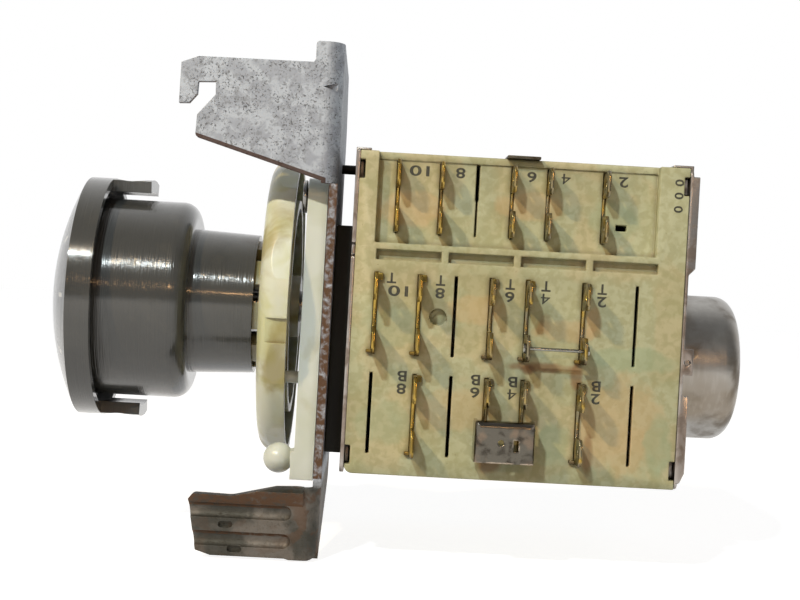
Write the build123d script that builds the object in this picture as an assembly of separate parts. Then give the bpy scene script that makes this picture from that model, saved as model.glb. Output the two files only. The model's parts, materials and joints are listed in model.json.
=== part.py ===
from build123d import *
import math
import os

os.makedirs("parts", exist_ok=True)

# Programme timer of a washing machine, in millimetres.
# X runs along the programme shaft: the knob is at -X and the motor at +X.
# Z is up and -Y is the side of the spade terminals.
# The origin is where the shaft axis meets the knob side of the mounting bracket.

# Sheet metal
bracket_t = 2.0
front_plate_t = 1.0
rear_plate_t = 0.8
can_t = 0.6

# Clearances
running_fit = 0.05
slot_play = 0.1
air = 0.3

# Stack along the shaft
spacer_len = 4.0
body_len = 78.4
motor_len = 19.2

# Body cross-section
body_h = 76.4
body_d = 74.0
face_wall = 2.5
side_wall = 2.2
corner_r = 2.0

x_front_plate = bracket_t + spacer_len
x_body = x_front_plate + front_plate_t
x_rear_plate = x_body + body_len
x_motor = x_rear_plate + rear_plate_t
y_face = -body_d / 2
z_top = body_h / 2

# Gaps of the terminal face, from its top edge down to its foot
pocket_rim = 1.8
pocket_margin = 2.7
common_less = 1.9
window_gap = 1.6
window_h = 2.4
throw_gap = 3.2
row_gap = 4.75
foot_gap = 5.05
step_gap = 1.1
upper_gaps = pocket_rim + slot_play + pocket_margin - common_less + window_gap + window_h
row_len = (body_h - upper_gaps - throw_gap - row_gap - foot_gap) / 3
common_row_len = row_len - common_less

# Recessed pocket of the common terminals, and the four windows under it
pocket_start = 4.5
pocket_stop = 7.2
pocket_x0 = x_body + pocket_start
pocket_len = body_len - pocket_start - pocket_stop
pocket_h = common_row_len + pocket_margin + slot_play
pocket_z0 = z_top - pocket_rim - pocket_h
pocket_depth = 4.5
y_pocket = y_face + pocket_depth
window_count = 4
window_start = 5.0
window_stop = 4.8
window_rib = 1.75
window_pitch = (body_len - window_start - window_stop) / window_count
window_len = window_pitch - window_rib
window_x0 = x_body + window_start
window_z = pocket_z0 - window_gap - window_h / 2
window_depth = 3.5

# Spade terminals
tab_t = 0.8
tab_w = 6.3
tab_out = 8.5
tab_tip = 1.3
tab_hole_r = 0.8
rail_proud = 0.6
rail_in = 4.5
ear_len = 1.2
ear_h = 1.1
ear_fold = 1.6
common_z = pocket_z0 + pocket_margin + common_row_len / 2
throw_z = window_z - window_h / 2 - throw_gap - row_len / 2
break_z = throw_z - row_len - row_gap
step_z = throw_z + row_len / 2 + step_gap
column_shares = {"10": 0.0676, "8": 0.199, "6": 0.4158, "4": 0.5255, "2": 0.6964}
columns = {name: x_body + share * body_len for name, share in column_shares.items()}
common_shift = 4.0
blank_middle = x_body + 0.3087 * body_len
blank_end = x_body + 0.8571 * body_len
blank_common = (blank_middle + common_shift,)
blank_throw = (blank_middle, blank_end)
blank_break = (columns["10"], blank_middle, blank_end)
single_throw = "10"

# Contact springs
spring_t = 0.4
spring_w = 4.8
spring_depth = 11.0
spring_y = y_face + spring_depth
spring_pivot_z = common_z - 5.8
spring_tip_z = throw_z - row_len / 2 + 1.0
nose_len = 5.8
pad_h = 3.0
pad_reach = 3.0
make_gap = 1.2
break_gap = 1.4

# Programme shaft and cam drum
shaft_r = 4.0
bush_wall = 3.0
drum_x0 = x_body + 3.0
nose_gap = 1.0
cam_lift = 2.5
cam_r = -spring_y - spring_t / 2 - nose_len - nose_gap
drum_r = cam_r - cam_lift
cam_w = 4.0
cam_lobes = 3
ratchet_w = 4.0
ratchet_depth = 1.6
ratchet_teeth = 20

# Nylon index disc
disc_r = 38.0
disc_w = 7.2
disc_back = -8.2
disc_round = 4.5
disc_web = 2.8
rim_wall = 2.0
rim_step = 0.7
rim_flat = 0.35
track_w = 8.5
crown_r = 16.5
crown_w = 4.5
crown_h = 2.7
crown_lugs = 9

# Knob
hub_len = 16.0
hub_r = 18.6
hub_draft = 0.7
grip_len = 24.0
grip_r = 25.35
grip_shoulder = 4.2
knob_wall = 2.0
cap_r = 30.6
cap_band = 5.9
cap_dome = 7.8
cap_overlap = 2.0
wing_len = 9.8
wing_t = 3.0
wing_half_angle = 13.0

# Lever with its ball stud
lever_t = 4.8
lever_w = 9.0
lever_y = -26.5
lever_pivot_z = 27.0
lever_bar_z = -disc_r + 3.5
lever_foot_z = -disc_r - 3.2
lever_foot_t = 5.6
pivot_r = 2.0
pivot_head_r = 4.0
pivot_head_t = 1.0
ball_r = 3.7
ball_neck_r = 2.4
ball_z = -disc_r + 1.4
ball_sunk = 0.6
follower_r = 1.5
follower_z = -16.9
follower_len = 6.0

# Bracket outline
arm_face = y_face - 1.0
bend_r = 2.0
bracket_far = body_d / 2 - 5.0
bracket_top = z_top + 24.8
bracket_foot = -z_top - 21.1
arm_root_z = z_top - 8.4
arm_top_z = z_top + 19.8
arm_tip_x = -36.2
lip_x = -4.7
flange_tip_x = -28.6
flange_top_z = -z_top - 4.0
flange_slant = 2.4
groove_w = 3.5
groove_depth = 1.1
groove_end_x = -6.3
groove_zs = (flange_top_z - 6.2, flange_top_z - 12.8)
dent_centres = ((-20.0, flange_top_z - 9.4), (-17.6, flange_top_z - 15.1))
dent_l = 3.4
dent_w = 1.5
dent_depth = 0.9
foot_round = 2.8

# Geared motor
motor_z = -10.1
can_r = 18.6
can_round = 4.5
rotor_r = 11.0
coil_r_in = 12.5
coil_len = 13.0
gear_reach = 57.5
module = (body_d / 2 - face_wall) / gear_reach
ratchet_r = 22.5 * module
eccentric_r = 4.0
eccentric_shift = 1.5
pinion_teeth = 10
wheel_teeth = 40
idler_angle = -25.0
drive_angle = 65.0
wheel_w = 2.0
post_r = 1.0
rotor_shaft_r = 0.9

# Spacer block and screws
block_y = body_d / 2 - 9.0
block_z0 = -z_top + 3.7
block_z1 = z_top - 17.7
stud_r = 1.2
stud_z = z_top - 1.9
screw_r = 1.7
screw_head_r = 3.2
screw_head_t = 1.7
screw_inset = 6.5
screw_places = ((15.0, block_z1 - screw_inset), (-13.0, block_z1 - screw_inset),
                (0.0, block_z0 + screw_inset))

# Hooks of the end plates, and the strip over the top of the body
hook_inset = 4.4
hook_half = 2.0
strip_t = 0.7
strip_w = 7.9
strip_x0 = x_body + (body_len - strip_w) / 2 - 0.45

# Bridge clip over two tabs, and the jumper wire
clip_t = 0.7
clip_h = 9.6
clip_z = break_z - 4.6
clip_side = 1.6
clip_depth = 6.2
clip_bend = 1.4
wire_r = 0.4
wire_blob_r = 1.2


def block(x0, x1, y0, y1, z0, z1):
    """A box given by its limits."""
    centre = Pos((x0 + x1) / 2, (y0 + y1) / 2, (z0 + z1) / 2)
    return centre * Box(x1 - x0, y1 - y0, z1 - z0)


def rod(x0, x1, radius, y=0.0, z=0.0):
    """A round bar along X."""
    base = (Align.CENTER, Align.CENTER, Align.MIN)
    return Pos(x0, y, z) * Rot(0, 90, 0) * Cylinder(radius, x1 - x0, align=base)


def tube(x0, x1, r_out, r_in, y=0.0, z=0.0):
    """A round tube along X."""
    return rod(x0, x1, r_out, y, z) - rod(x0 - 1, x1 + 1, r_in, y, z)


def cross_rod(y0, y1, radius, x, z):
    """A round bar along Y."""
    base = (Align.CENTER, Align.CENTER, Align.MIN)
    return Pos(x, y1, z) * Rot(90, 0, 0) * Cylinder(radius, y1 - y0, align=base)


def outline(points, rounds=()):
    """A flat outline, with some of its corners rounded, drawn counter-clockwise."""
    following = points[1:] + points[:1]
    area = sum(a[0] * b[1] - b[0] * a[1] for a, b in zip(points, following))
    if area < 0:
        points = points[::-1]
    face = Polygon(*points, align=None)
    for corner, radius in rounds:
        near = face.vertices().sort_by_distance((corner[0], corner[1], 0))[0]
        face = fillet(near, radius)
    return face


def slab_x(face, x0, x1):
    """An outline drawn in Y and Z, as thick as from x0 to x1."""
    return extrude(Plane.YZ.offset(x0) * face, amount=x1 - x0)


def slab_y(face, y0, y1):
    """An outline drawn in X and Z, as thick as from y0 to y1."""
    return extrude(Plane.XZ.offset(-y1) * face, amount=y1 - y0)


def turned(points, rounds=()):
    """A body turned about the shaft axis from points of X and radius."""
    return revolve(outline(points, rounds), Axis.X)


def sector(x0, x1, r_in, r_out, middle, half):
    """A piece of a ring about the shaft, with its middle at an angle from Y towards Z."""
    reach = r_out / math.cos(math.radians(half)) * 1.02
    near = middle - half
    far = middle + half
    points = [(0, 0)]
    for angle in (near, middle, far):
        turn = math.radians(angle)
        points.append((reach * math.cos(turn), reach * math.sin(turn)))
    wedge = slab_x(outline(points), x0, x1)
    return wedge & tube(x0, x1, r_out, r_in)


def polar(radius, angle):
    """The Y and Z of a point at a radius and an angle from Y towards Z."""
    turn = math.radians(angle)
    return radius * math.cos(turn), radius * math.sin(turn)


def save(name, shape):
    """Write one named piece."""
    export_step(shape, "parts/" + name + ".step")


# Places that several pieces share
idler_y, idler_dz = polar((pinion_teeth + wheel_teeth) * module / 2, idler_angle)
idler_z = motor_z + idler_dz
drive_dy, drive_dz = polar((pinion_teeth + wheel_teeth) * module / 2, drive_angle)
drive_y = idler_y + drive_dy
drive_z = idler_z + drive_dz
pawl_y = drive_y + 3.5 * module
pawl_z = drive_z + 26.5 * module
x_ratchet = columns["2"] + common_shift + 1.0
x_ratchet_end = x_ratchet + ratchet_w
x_idler_wheel = x_rear_plate - wheel_w - 2.4
x_drive_wheel = x_idler_wheel - wheel_w - 1.0
x_rear_bush = x_rear_plate - 6.0
bush_r = shaft_r + bush_wall
disc_front = disc_back - disc_w
x_hub_end = disc_front - crown_h
x_shoulder = x_hub_end - hub_len
x_grip_end = x_shoulder - grip_len
x_cap_seat = x_grip_end
x_band_back = x_cap_seat + cap_overlap
x_band_front = x_band_back - cap_band
x_apex = x_band_front - cap_dome
track_r_out = disc_r - rim_wall
track_r_in = track_r_out - track_w
lever_back = -air
lever_front = lever_back - lever_t
lever_foot_front = lever_back - lever_foot_t
y_common_in = spring_y - spring_t / 2 - air
make_pad_y = spring_y - spring_t / 2 - make_gap
break_pad_y = spring_y + spring_t / 2 + break_gap
arm_back = arm_face + bracket_t
z_pocket_top = pocket_z0 + pocket_h
tab_hole_y = y_face - tab_out + 2.6


def arm_outline():
    """The hooked arm and the lip above it, seen from the terminal side."""
    slot_x = arm_tip_x + 4.2
    points = [
        (arm_tip_x + 0.1, arm_top_z - 1.8), (slot_x, arm_top_z - 0.2), (lip_x - 0.4, arm_top_z),
        (lip_x, arm_top_z + 0.8), (lip_x, bracket_top), (0.0, bracket_top),
        (0.0, arm_root_z), (slot_x, arm_top_z - 19.0), (slot_x + 0.2, arm_top_z - 13.9),
        (slot_x + 4.3, arm_top_z - 9.0), (slot_x + 4.2, arm_top_z - 5.9),
        (slot_x + 0.1, arm_top_z - 6.1), (slot_x, arm_top_z - 9.0),
        (slot_x - 1.8, arm_top_z - 11.2), (arm_tip_x, arm_top_z - 11.3)]
    rounds = [((slot_x, arm_top_z - 0.2), 1.5), ((lip_x, bracket_top), 0.8),
              ((slot_x, arm_top_z - 19.0), 1.0)]
    return outline(points, rounds)


def flange_outline():
    """The lower flange, seen from the terminal side."""
    dip = (flange_tip_x + 9.9, flange_top_z - 2.5)
    tip = (flange_tip_x + 0.7, flange_top_z - 2.3)
    points = [
        (flange_tip_x - 0.4, flange_top_z - 3.8), tip, dip, (groove_end_x - 2.2, flange_top_z),
        (groove_end_x + 2.5, flange_top_z + 0.2), (0.0, flange_top_z), (0.0, bracket_foot),
        (groove_end_x + 1.5, bracket_foot), (groove_end_x + 0.5, bracket_foot + 0.3),
        (flange_tip_x + 5.4, bracket_foot + 0.3), (flange_tip_x + 1.8, bracket_foot + 1.4),
        (flange_tip_x + 0.7, bracket_foot + 7.3)]
    return outline(points, [(dip, 6.0), (tip, 1.4)])


def bend(z0, z1):
    """The quarter bend that joins the plate to an arm."""
    centre_y = arm_back + bend_r
    corner = block(-bend_r, bracket_t, arm_face, centre_y, z0, z1)
    base = (Align.CENTER, Align.CENTER, Align.MIN)
    outer = Pos(-bend_r, centre_y, z0) * Cylinder(bend_r + bracket_t, z1 - z0, align=base)
    inner = Pos(-bend_r, centre_y, z0 - 1) * Cylinder(bend_r, z1 - z0 + 2, align=base)
    return (corner & outer) - inner


def mounting_bracket():
    """The folded steel bracket that holds the timer in the machine."""
    y_bend = arm_back + bend_r
    plate_points = [
        (y_bend, bracket_foot), (bracket_far, bracket_foot + 12), (bracket_far, bracket_top - 14),
        (bracket_far - 14, bracket_top), (y_bend, bracket_top)]
    plate = slab_x(outline(plate_points, [((bracket_far, bracket_foot + 12), 5),
                                          ((bracket_far, bracket_top - 14), 5)]), 0, bracket_t)
    edge = block(0, bracket_t, y_face, y_bend, flange_top_z, arm_root_z)
    arm = slab_y(arm_outline(), arm_face, arm_back) & block(-80, -bend_r, -80, 0, -90, 90)
    flange = slab_y(flange_outline(), arm_face, arm_back) & block(-80, -bend_r, -80, 0, -90, 90)
    body = plate + edge + arm + flange
    body += bend(arm_root_z, bracket_top)
    body += bend(bracket_foot, flange_top_z)
    for z in groove_zs:
        body += groove(z, bracket_t) & block(-80, 0, arm_back, 0, -90, 90)
    # The upper strip of the flange leans out towards the terminal side.
    lean_root = flange_top_z - 4.4
    lean = outline([(arm_face, lean_root), (arm_face - flange_slant, flange_top_z - 1.0),
                    (arm_face - flange_slant + 1.8, flange_top_z),
                    (arm_face + 0.9, flange_top_z - 1.8), (arm_face + 0.9, lean_root)])
    body += slab_x(lean, flange_tip_x - 1.0, -bend_r) & slab_y(flange_outline(), -80, 0)
    for z in groove_zs:
        body -= groove(z)
    for x, z in dent_centres:
        dent = Pos(x, 0, z) * Rot(90, 0, 0) * extrude(SlotOverall(dent_l, dent_w), 80)
        body -= dent & block(-80, -bend_r, -80, arm_face + dent_depth, -90, 90)
    # The bend's lower corner is cut round.
    corner_x = bracket_t - foot_round
    corner_z = bracket_foot + foot_round
    corner = block(corner_x, bracket_t + 1, -80, y_bend, bracket_foot - 1, corner_z)
    body -= corner - cross_rod(-81, y_bend + 1, foot_round, corner_x, corner_z)
    body -= rod(-1, bracket_t + 1, bush_r + running_fit)
    body -= rod(-1, bracket_t + 1, pivot_r, lever_y, lever_pivot_z)
    for y, z in screw_places:
        body -= screw(y, z, running_fit)
    # A dart pressed into the bend stiffens the arm.
    dart = outline([(-2.6, arm_top_z - 5.6), (2.5, arm_top_z - 7.2), (2.5, arm_top_z - 4.2)])
    body -= slab_y(dart, arm_face - 1, arm_face + 1.2)
    return body


def groove(z, skin=0.0):
    """A long pressed groove in the lower flange, round in section and at its inner end."""
    radius = (groove_w ** 2 / 4 + groove_depth ** 2) / (2 * groove_depth)
    y = arm_face + groove_depth - radius
    run = rod(-80, groove_end_x, radius + skin, y, z)
    end = Pos(groove_end_x, y, z) * Sphere(radius + skin)
    return (run + end) & slab_y(flange_outline(), -80, 0)


def screw(y, z, play=0.0):
    """One countersunk screw through the bracket, the block and the front plate."""
    sunk = 0.1
    front = sunk if play == 0 else -1.0
    x_end = x_body + 2.0 + play
    points = [(front, 0), (front, screw_head_r + 2 * play), (sunk, screw_head_r + 2 * play),
              (screw_head_t + play, screw_r + play), (x_end, screw_r + play), (x_end, 0)]
    if play == 0:
        points.pop(1)
    return Pos(0, y, z) * turned(points)


def spacer_block():
    """The black moulded block between the bracket and the front plate."""
    face = outline([(-block_y, block_z0), (block_y, block_z0), (block_y, block_z1),
                    (-block_y, block_z1)])
    body = slab_x(face, bracket_t, x_front_plate)
    body -= rod(0, x_body, bush_r + running_fit)
    for y, z in screw_places:
        body -= screw(y, z, running_fit)
    return body


def front_plate():
    """The sheet steel plate at the knob end of the body."""
    points = [(y_face, -z_top), (-y_face, -z_top), (-y_face, z_top), (y_face, z_top),
              (y_face, window_z + 2.5), (y_face + 1.5, window_z + 2.0),
              (y_face + 1.5, window_z - 0.4), (y_face, window_z - 0.9)]
    rounds = [((y_face, -z_top), corner_r), ((-y_face, -z_top), corner_r),
              ((-y_face, z_top), corner_r)]
    body = slab_x(outline(points, rounds), x_front_plate, x_body)
    body -= rod(0, x_body + 1, bush_r + running_fit)
    for y, z in screw_places:
        body -= screw(y, z, running_fit)
    for side in (-1, 1):
        for end in (-1, 1):
            body += hook(x_body, 1, side, end)
    body += block(x_front_plate, x_body + 2.6, y_face + 0.5, y_face + 6, z_top, z_top + 0.6)
    body += block(x_front_plate, x_body, y_face + 0.5, y_face + 6, z_top - 1, z_top + 0.6)
    return body


def notch(x, way, side, end, play=0.0):
    """The window in the side of the body that a plate's hook enters."""
    inner = 1.3 + play
    x0 = min(x, x + way * inner)
    x1 = max(x, x + way * inner)
    y0 = side * (body_d / 2 - 4.0 - play)
    y1 = side * (body_d / 2 + 1)
    z = end * (z_top - hook_inset)
    half = hook_half + 0.2 + play
    return block(x0, x1, min(y0, y1), max(y0, y1), z - half, z + half)


def hook(x, way, side, end):
    """A hook of an end plate, down in its window."""
    x1 = x + way * 1.0
    y_in = side * (body_d / 2 - 3.8)
    y_out = side * (body_d / 2 - 2.8)
    z = end * (z_top - hook_inset)
    return block(min(x, x1), max(x, x1), min(y_in, y_out), max(y_in, y_out),
                 z - hook_half, z + hook_half)


def rear_plate():
    """The sheet steel plate at the motor end, with its flanges and earth tab."""
    points = [(y_face, -z_top), (-y_face, -z_top), (-y_face, z_top), (y_face, z_top)]
    rounds = [(point, corner_r) for point in points]
    body = slab_x(outline(points, rounds), x_rear_plate, x_motor)
    reach = x_rear_plate + 2.3
    upper = outline([(x_rear_plate, 12.0), (reach, 14.4), (reach, z_top - corner_r),
                     (x_rear_plate, z_top - corner_r)])
    lower = outline([(x_rear_plate, -z_top + 1.6), (x_rear_plate + 1.2, -z_top + 1.6),
                     (reach, -z_top + 4.0), (reach, -15.8), (x_rear_plate, -15.8)])
    for side in (-1, 1):
        edge = side * body_d / 2
        sheet = edge - side * rear_plate_t
        body += slab_y(upper, min(edge, sheet), max(edge, sheet))
        body += slab_y(lower, min(edge, sheet), max(edge, sheet))
    tab = outline([(x_rear_plate, -10.9), (x_rear_plate + 3.0, -10.9),
                   (x_rear_plate + 3.0, -4.6), (x_rear_plate, -4.6)])
    body += slab_y(tab, y_face, y_face + rear_plate_t)
    body -= cross_rod(y_face - 1, y_face + 3, 0.6, x_rear_plate + 1.6, -7.9)
    body -= rod(x_rear_plate - 1, x_motor + 1, (pinion_teeth / 2 + 2) * module, 0, motor_z)
    for y, z, radius in posts():
        body -= rod(x_rear_plate - 1, x_motor + 1, radius, y, z)
    for side in (-1, 1):
        for end in (-1, 1):
            body += hook(x_rear_plate, -1, side, end)
    body += block(x_rear_plate - 4, x_motor, y_face + 0.5, y_face + 6, z_top, z_top + 0.6)
    body += block(x_rear_plate, x_motor, y_face + 0.5, y_face + 6, z_top - 3, z_top + 0.6)
    return body


def posts():
    """Y, Z and radius of each gear or pawl post in the rear plate."""
    return ((idler_y, idler_z, post_r), (drive_y, drive_z, post_r),
            (pawl_y, pawl_z, post_r), (-pawl_y, pawl_z, post_r))


def body_half(side):
    """A plain moulded half of the body: side is -1 at the terminals and 1 behind."""
    y_out = side * body_d / 2
    x1 = x_rear_plate
    points = [(x_body, -z_top), (x1, -z_top), (x1, z_top), (x_body, z_top)]
    face = outline(points, [((x_body, -z_top), corner_r)])
    body = slab_y(face, min(0, y_out), max(0, y_out))
    y_wall = side * (body_d / 2 - face_wall)
    y_step = side * (body_d / 2 - pocket_depth - face_wall)
    inner_z = z_top - side_wall
    body -= block(x_body - 1, x1 + 1, min(0, y_wall), max(0, y_wall), -inner_z, step_z)
    body -= block(x_body - 1, x1 + 1, min(0, y_step), max(0, y_step), step_z - 1, inner_z)
    y_floor = side * (body_d / 2 - pocket_depth)
    body -= block(pocket_x0, pocket_x0 + pocket_len, min(y_floor, 2 * y_out),
                  max(y_floor, 2 * y_out), pocket_z0, z_pocket_top)
    y_window = side * (body_d / 2 - window_depth)
    for i in range(window_count):
        x = window_x0 + i * window_pitch
        body -= block(x, x + window_len, min(y_window, 2 * y_out), max(y_window, 2 * y_out),
                      window_z - window_h / 2, window_z + window_h / 2)
    for end in (-1, 1):
        body -= notch(x_body, 1, side, end)
        body -= notch(x1, -1, side, end)
    return body


def terminal_housing():
    """The moulded half that carries the terminals."""
    body = body_half(-1)
    width = tab_t + 2 * slot_play
    for name, x in columns.items():
        body -= slit(x + common_shift, common_z, common_row_len, width)
        body -= slit(x, throw_z, row_len, width)
        if name != single_throw:
            body -= slit(x, break_z, row_len, width)
    for x in blank_common:
        body -= slit(x, common_z, common_row_len, tab_t / 2)
        body -= slit(x, common_z + common_row_len / 4, common_row_len / 2, tab_t)
    for x in blank_throw:
        body -= slit(x, throw_z, row_len, tab_t)
    for x in blank_break:
        body -= slit(x, break_z, row_len, tab_t)
    body -= cross_rod(y_face - 1, y_face + 1.8, 1.95, columns["8"] + 4.7, throw_z - 0.25)
    dark_x = columns["2"] + common_shift + 4.4
    dark_z = common_z - 4.6
    body -= block(dark_x - 1.3, dark_x + 1.3, 2 * y_face, 0, dark_z - 0.7, dark_z + 0.7)
    return body


def slit(x, z, length, width):
    """The cut in the face that a terminal stands in."""
    half = length / 2 + slot_play
    return block(x - width / 2, x + width / 2, 2 * y_face, y_pocket + side_wall + face_wall,
                 z - half, z + half)


def tabs(x, y_seat, z, length):
    """The two spade tabs of a terminal and the rail that joins them."""
    y_tip = y_seat - tab_out
    half = length / 2
    points = [(y_seat + rail_in, z - half), (y_seat + rail_in, z + half)]
    for low, high in ((z + half - tab_w, z + half), (z - half, z - half + tab_w)):
        points += [(y_tip + tab_tip, high), (y_tip, high - tab_tip), (y_tip, low + tab_tip),
                   (y_tip + tab_tip, low)]
        if high == z + half:
            points += [(y_seat - rail_proud, low), (y_seat - rail_proud, z - half + tab_w)]
    body = slab_x(outline(points), x - tab_t / 2, x + tab_t / 2)
    for middle in (z + half - tab_w / 2, z - half + tab_w / 2):
        body -= rod(x - 1, x + 1, tab_hole_r, y_tip + 2.6, middle)
    return body


def ears(x, z):
    """The bent ears that lock a terminal of the open face, one up and one down."""
    half = row_len / 2
    upper = block(x, x + tab_t / 2 + ear_len, y_face - ear_h, y_face, z + half - ear_fold, z + half)
    lower = block(x - tab_t / 2 - ear_len, x, y_face - ear_h, y_face, z - half, z - half + tab_t)
    return upper + lower


def common_terminal(x):
    """A common terminal, with the arm that carries its contact spring."""
    body = tabs(x, y_pocket, common_z, common_row_len)
    low = spring_pivot_z - 2.0
    arm = block(x - tab_t / 2, x + tab_t / 2, y_pocket + rail_in - 1, y_common_in,
                low, spring_pivot_z + 3.0)
    return body + arm


def throw_terminal(x):
    """A terminal that its contact spring meets when the cam lets it go."""
    body = tabs(x, y_face, throw_z, row_len) + ears(x, throw_z)
    low = spring_tip_z
    z0 = throw_z - row_len / 2
    body += block(x - tab_t / 2, x + tab_t / 2, y_face + rail_in - 1, make_pad_y, z0, low + pad_h + 1)
    body += block(x - tab_t / 2, x + pad_reach, make_pad_y - tab_t, make_pad_y, low, low + pad_h)
    return body


def break_terminal(x):
    """A terminal that its contact spring meets when the cam lifts it."""
    body = tabs(x, y_face, break_z, row_len) + ears(x, break_z)
    z1 = break_z + row_len / 2
    low = spring_tip_z
    body += block(x - tab_t / 2, x + tab_t / 2, y_face + rail_in - 1, break_pad_y + tab_t, z1 - 3, z1)
    body += block(x - tab_t / 2, x + tab_t / 2, break_pad_y, break_pad_y + tab_t, z1 - 1, low + pad_h)
    body += block(x - tab_t / 2, x + pad_reach, break_pad_y, break_pad_y + tab_t, low, low + pad_h)
    return body


def contact_spring(x):
    """The leaf of a switch, with the nose that rides on its cam."""
    y0 = spring_y - spring_t / 2
    y1 = spring_y + spring_t / 2
    leaf = block(x - tab_t / 2, x - tab_t / 2 + spring_w, y0, y1, spring_tip_z, spring_pivot_z + 3)
    nose_tip = y1 + nose_len
    nose = outline([(y1, -1.6), (nose_tip, -0.7), (nose_tip, 0.7), (y1, 1.6)])
    return leaf + slab_x(nose, x + 0.2, x + 3.0)


def cam_drum():
    """The cam drum with its ratchet wheel."""
    body = tube(drum_x0, x_ratchet, drum_r, shaft_r + running_fit)
    for place, x in enumerate(columns.values()):
        for lobe in range(cam_lobes):
            middle = 200.0 + 37.0 * place + lobe * 360.0 / cam_lobes
            body += sector(x - 0.4, x - 0.4 + cam_w, drum_r - 1, cam_r, middle, 20 + 4 * lobe)
    points = []
    for tooth in range(ratchet_teeth):
        base = 360.0 / ratchet_teeth * tooth
        points.append(polar(ratchet_r, base))
        points.append(polar(ratchet_r - ratchet_depth, base + 2.0))
    wheel = slab_x(outline(points), x_ratchet - 0.5, x_ratchet_end)
    return body + (wheel - rod(x_ratchet - 2, x_ratchet_end + 1, shaft_r + running_fit))


def program_shaft():
    """The steel shaft from the knob to the rear bush."""
    return rod(x_grip_end + 3.0, x_rear_plate - air, shaft_r)


def front_bush():
    """The bearing of the shaft in the bracket and the front plate."""
    return tube(0, x_body + 1.5, bush_r, shaft_r + running_fit)


def rear_bush():
    """The bearing of the shaft on the rear plate."""
    return tube(x_rear_bush, x_rear_plate, shaft_r + 1.6, shaft_r + running_fit)


def index_disc():
    """The nylon cam disc behind the knob, with its crown of lugs."""
    bore = shaft_r + running_fit
    floor = disc_front + disc_web
    hub_back = disc_back + 1.2
    points = [
        (disc_front, bore), (disc_front, disc_r), (disc_back, disc_r), (disc_back, track_r_out),
        (floor, track_r_out), (floor, track_r_in), (disc_back, track_r_in),
        (disc_back, track_r_in - 2), (floor, track_r_in - 2), (floor, shaft_r + 4),
        (hub_back, shaft_r + 4), (hub_back, bore)]
    body = turned(points, [((disc_front, disc_r), disc_round)])
    pitch = 360.0 / crown_lugs
    for lug in range(crown_lugs):
        body += sector(x_hub_end, disc_front + 1, crown_r - crown_w, crown_r,
                       190.0 + lug * pitch, pitch * 0.3)
    # The rim is cut into a cam by steps and by flats, each at its angle round the shaft.
    for angle in (188.5, 85.0, 290.0):
        body -= sector(disc_front - 1, disc_back + 1, disc_r - rim_step, disc_r + 1, angle, 4.5)
    for angle in (162.0, 201.0, 239.5, 122.0, 340.0):
        y, z = polar(disc_r - rim_flat + disc_w, angle)
        flat = Pos(0, y, z) * Rot(angle, 0, 0) * Box(disc_w * 4, disc_w * 2, disc_r / 2)
        body -= flat
    return body


def knob_body():
    """The grip of the knob and its hub, hollow from the front."""
    r_in = grip_r - knob_wall
    hub_in = hub_r - hub_draft - knob_wall
    bore = shaft_r + running_fit
    boss = shaft_r + 2.5
    points = [
        (x_grip_end, grip_r), (x_shoulder, grip_r), (x_shoulder, hub_r),
        (x_hub_end, hub_r - hub_draft), (x_hub_end, bore), (x_grip_end + 3.5, bore),
        (x_grip_end + 3.5, boss), (x_hub_end - knob_wall, boss), (x_hub_end - knob_wall, hub_in),
        (x_shoulder - knob_wall, hub_in), (x_shoulder - knob_wall, r_in), (x_grip_end, r_in)]
    return turned(points, [((x_shoulder, grip_r), grip_shoulder)])


def knob_cap():
    """The domed cap of the knob, with its band and two wings."""
    dome_r = (cap_r ** 2 + cap_dome ** 2) / (2 * cap_dome)
    inner = cap_r - knob_wall
    with BuildSketch() as half:
        with BuildLine():
            halfway = x_apex + dome_r - math.sqrt(dome_r ** 2 - (cap_r / 2) ** 2)
            ThreePointArc((x_apex, 0), (halfway, cap_r / 2), (x_band_front, cap_r))
            Polyline((x_band_front, cap_r), (x_band_back, cap_r), (x_band_back, inner),
                     (x_band_front + 1.6, inner), (x_cap_seat - 3.2, grip_r),
                     (x_cap_seat, grip_r), (x_cap_seat, grip_r - 3 * knob_wall),
                     (x_cap_seat - 3.2, grip_r - 3 * knob_wall), (x_apex + 3.0, 12.0),
                     (x_apex + 3.0, 0), (x_apex, 0))
        make_face()
    body = revolve(half.sketch, Axis.X)
    scoop_r = wing_len * 1.2
    for way in (-1, 1):
        wing = sector(x_band_back - 1, x_band_back + wing_len, cap_r - wing_t, cap_r,
                      90.0 * way, wing_half_angle)
        scoop = Pos(x_band_back + wing_len * 0.45, 0, way * (cap_r + scoop_r - 0.9)) * Rot(90, 0, 0)
        wing -= scoop * Cylinder(scoop_r, 60)
        body += wing
    return body


def lever():
    """The nylon lever with its ball stud."""
    y0 = lever_y - lever_w / 2
    y1 = lever_y + lever_w / 2
    bar = block(lever_front, lever_back, y0, y1, lever_bar_z, lever_pivot_z)
    bar += rod(lever_front, lever_back, lever_w / 2, lever_y, lever_pivot_z)
    bar += block(lever_foot_front, lever_back, y0, y1, lever_foot_z, lever_bar_z)
    bar += rod(lever_foot_front - 2.0, lever_foot_front + 1, ball_neck_r, lever_y, ball_z)
    bar += Pos(lever_foot_front - ball_r + ball_sunk, lever_y, ball_z) * Rot(0, 90, 0) * Sphere(ball_r)
    bar += rod(lever_front - follower_len, lever_front + 1, follower_r, lever_y, follower_z)
    return bar - rod(lever_front - 3, 1, pivot_r + running_fit, lever_y, lever_pivot_z)


def lever_pin():
    """The headed rivet that the lever turns on."""
    head = lever_front - air
    body = rod(head, bracket_t, pivot_r, lever_y, lever_pivot_z)
    return body + rod(head - pivot_head_t, head, pivot_head_r, lever_y, lever_pivot_z)


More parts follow.
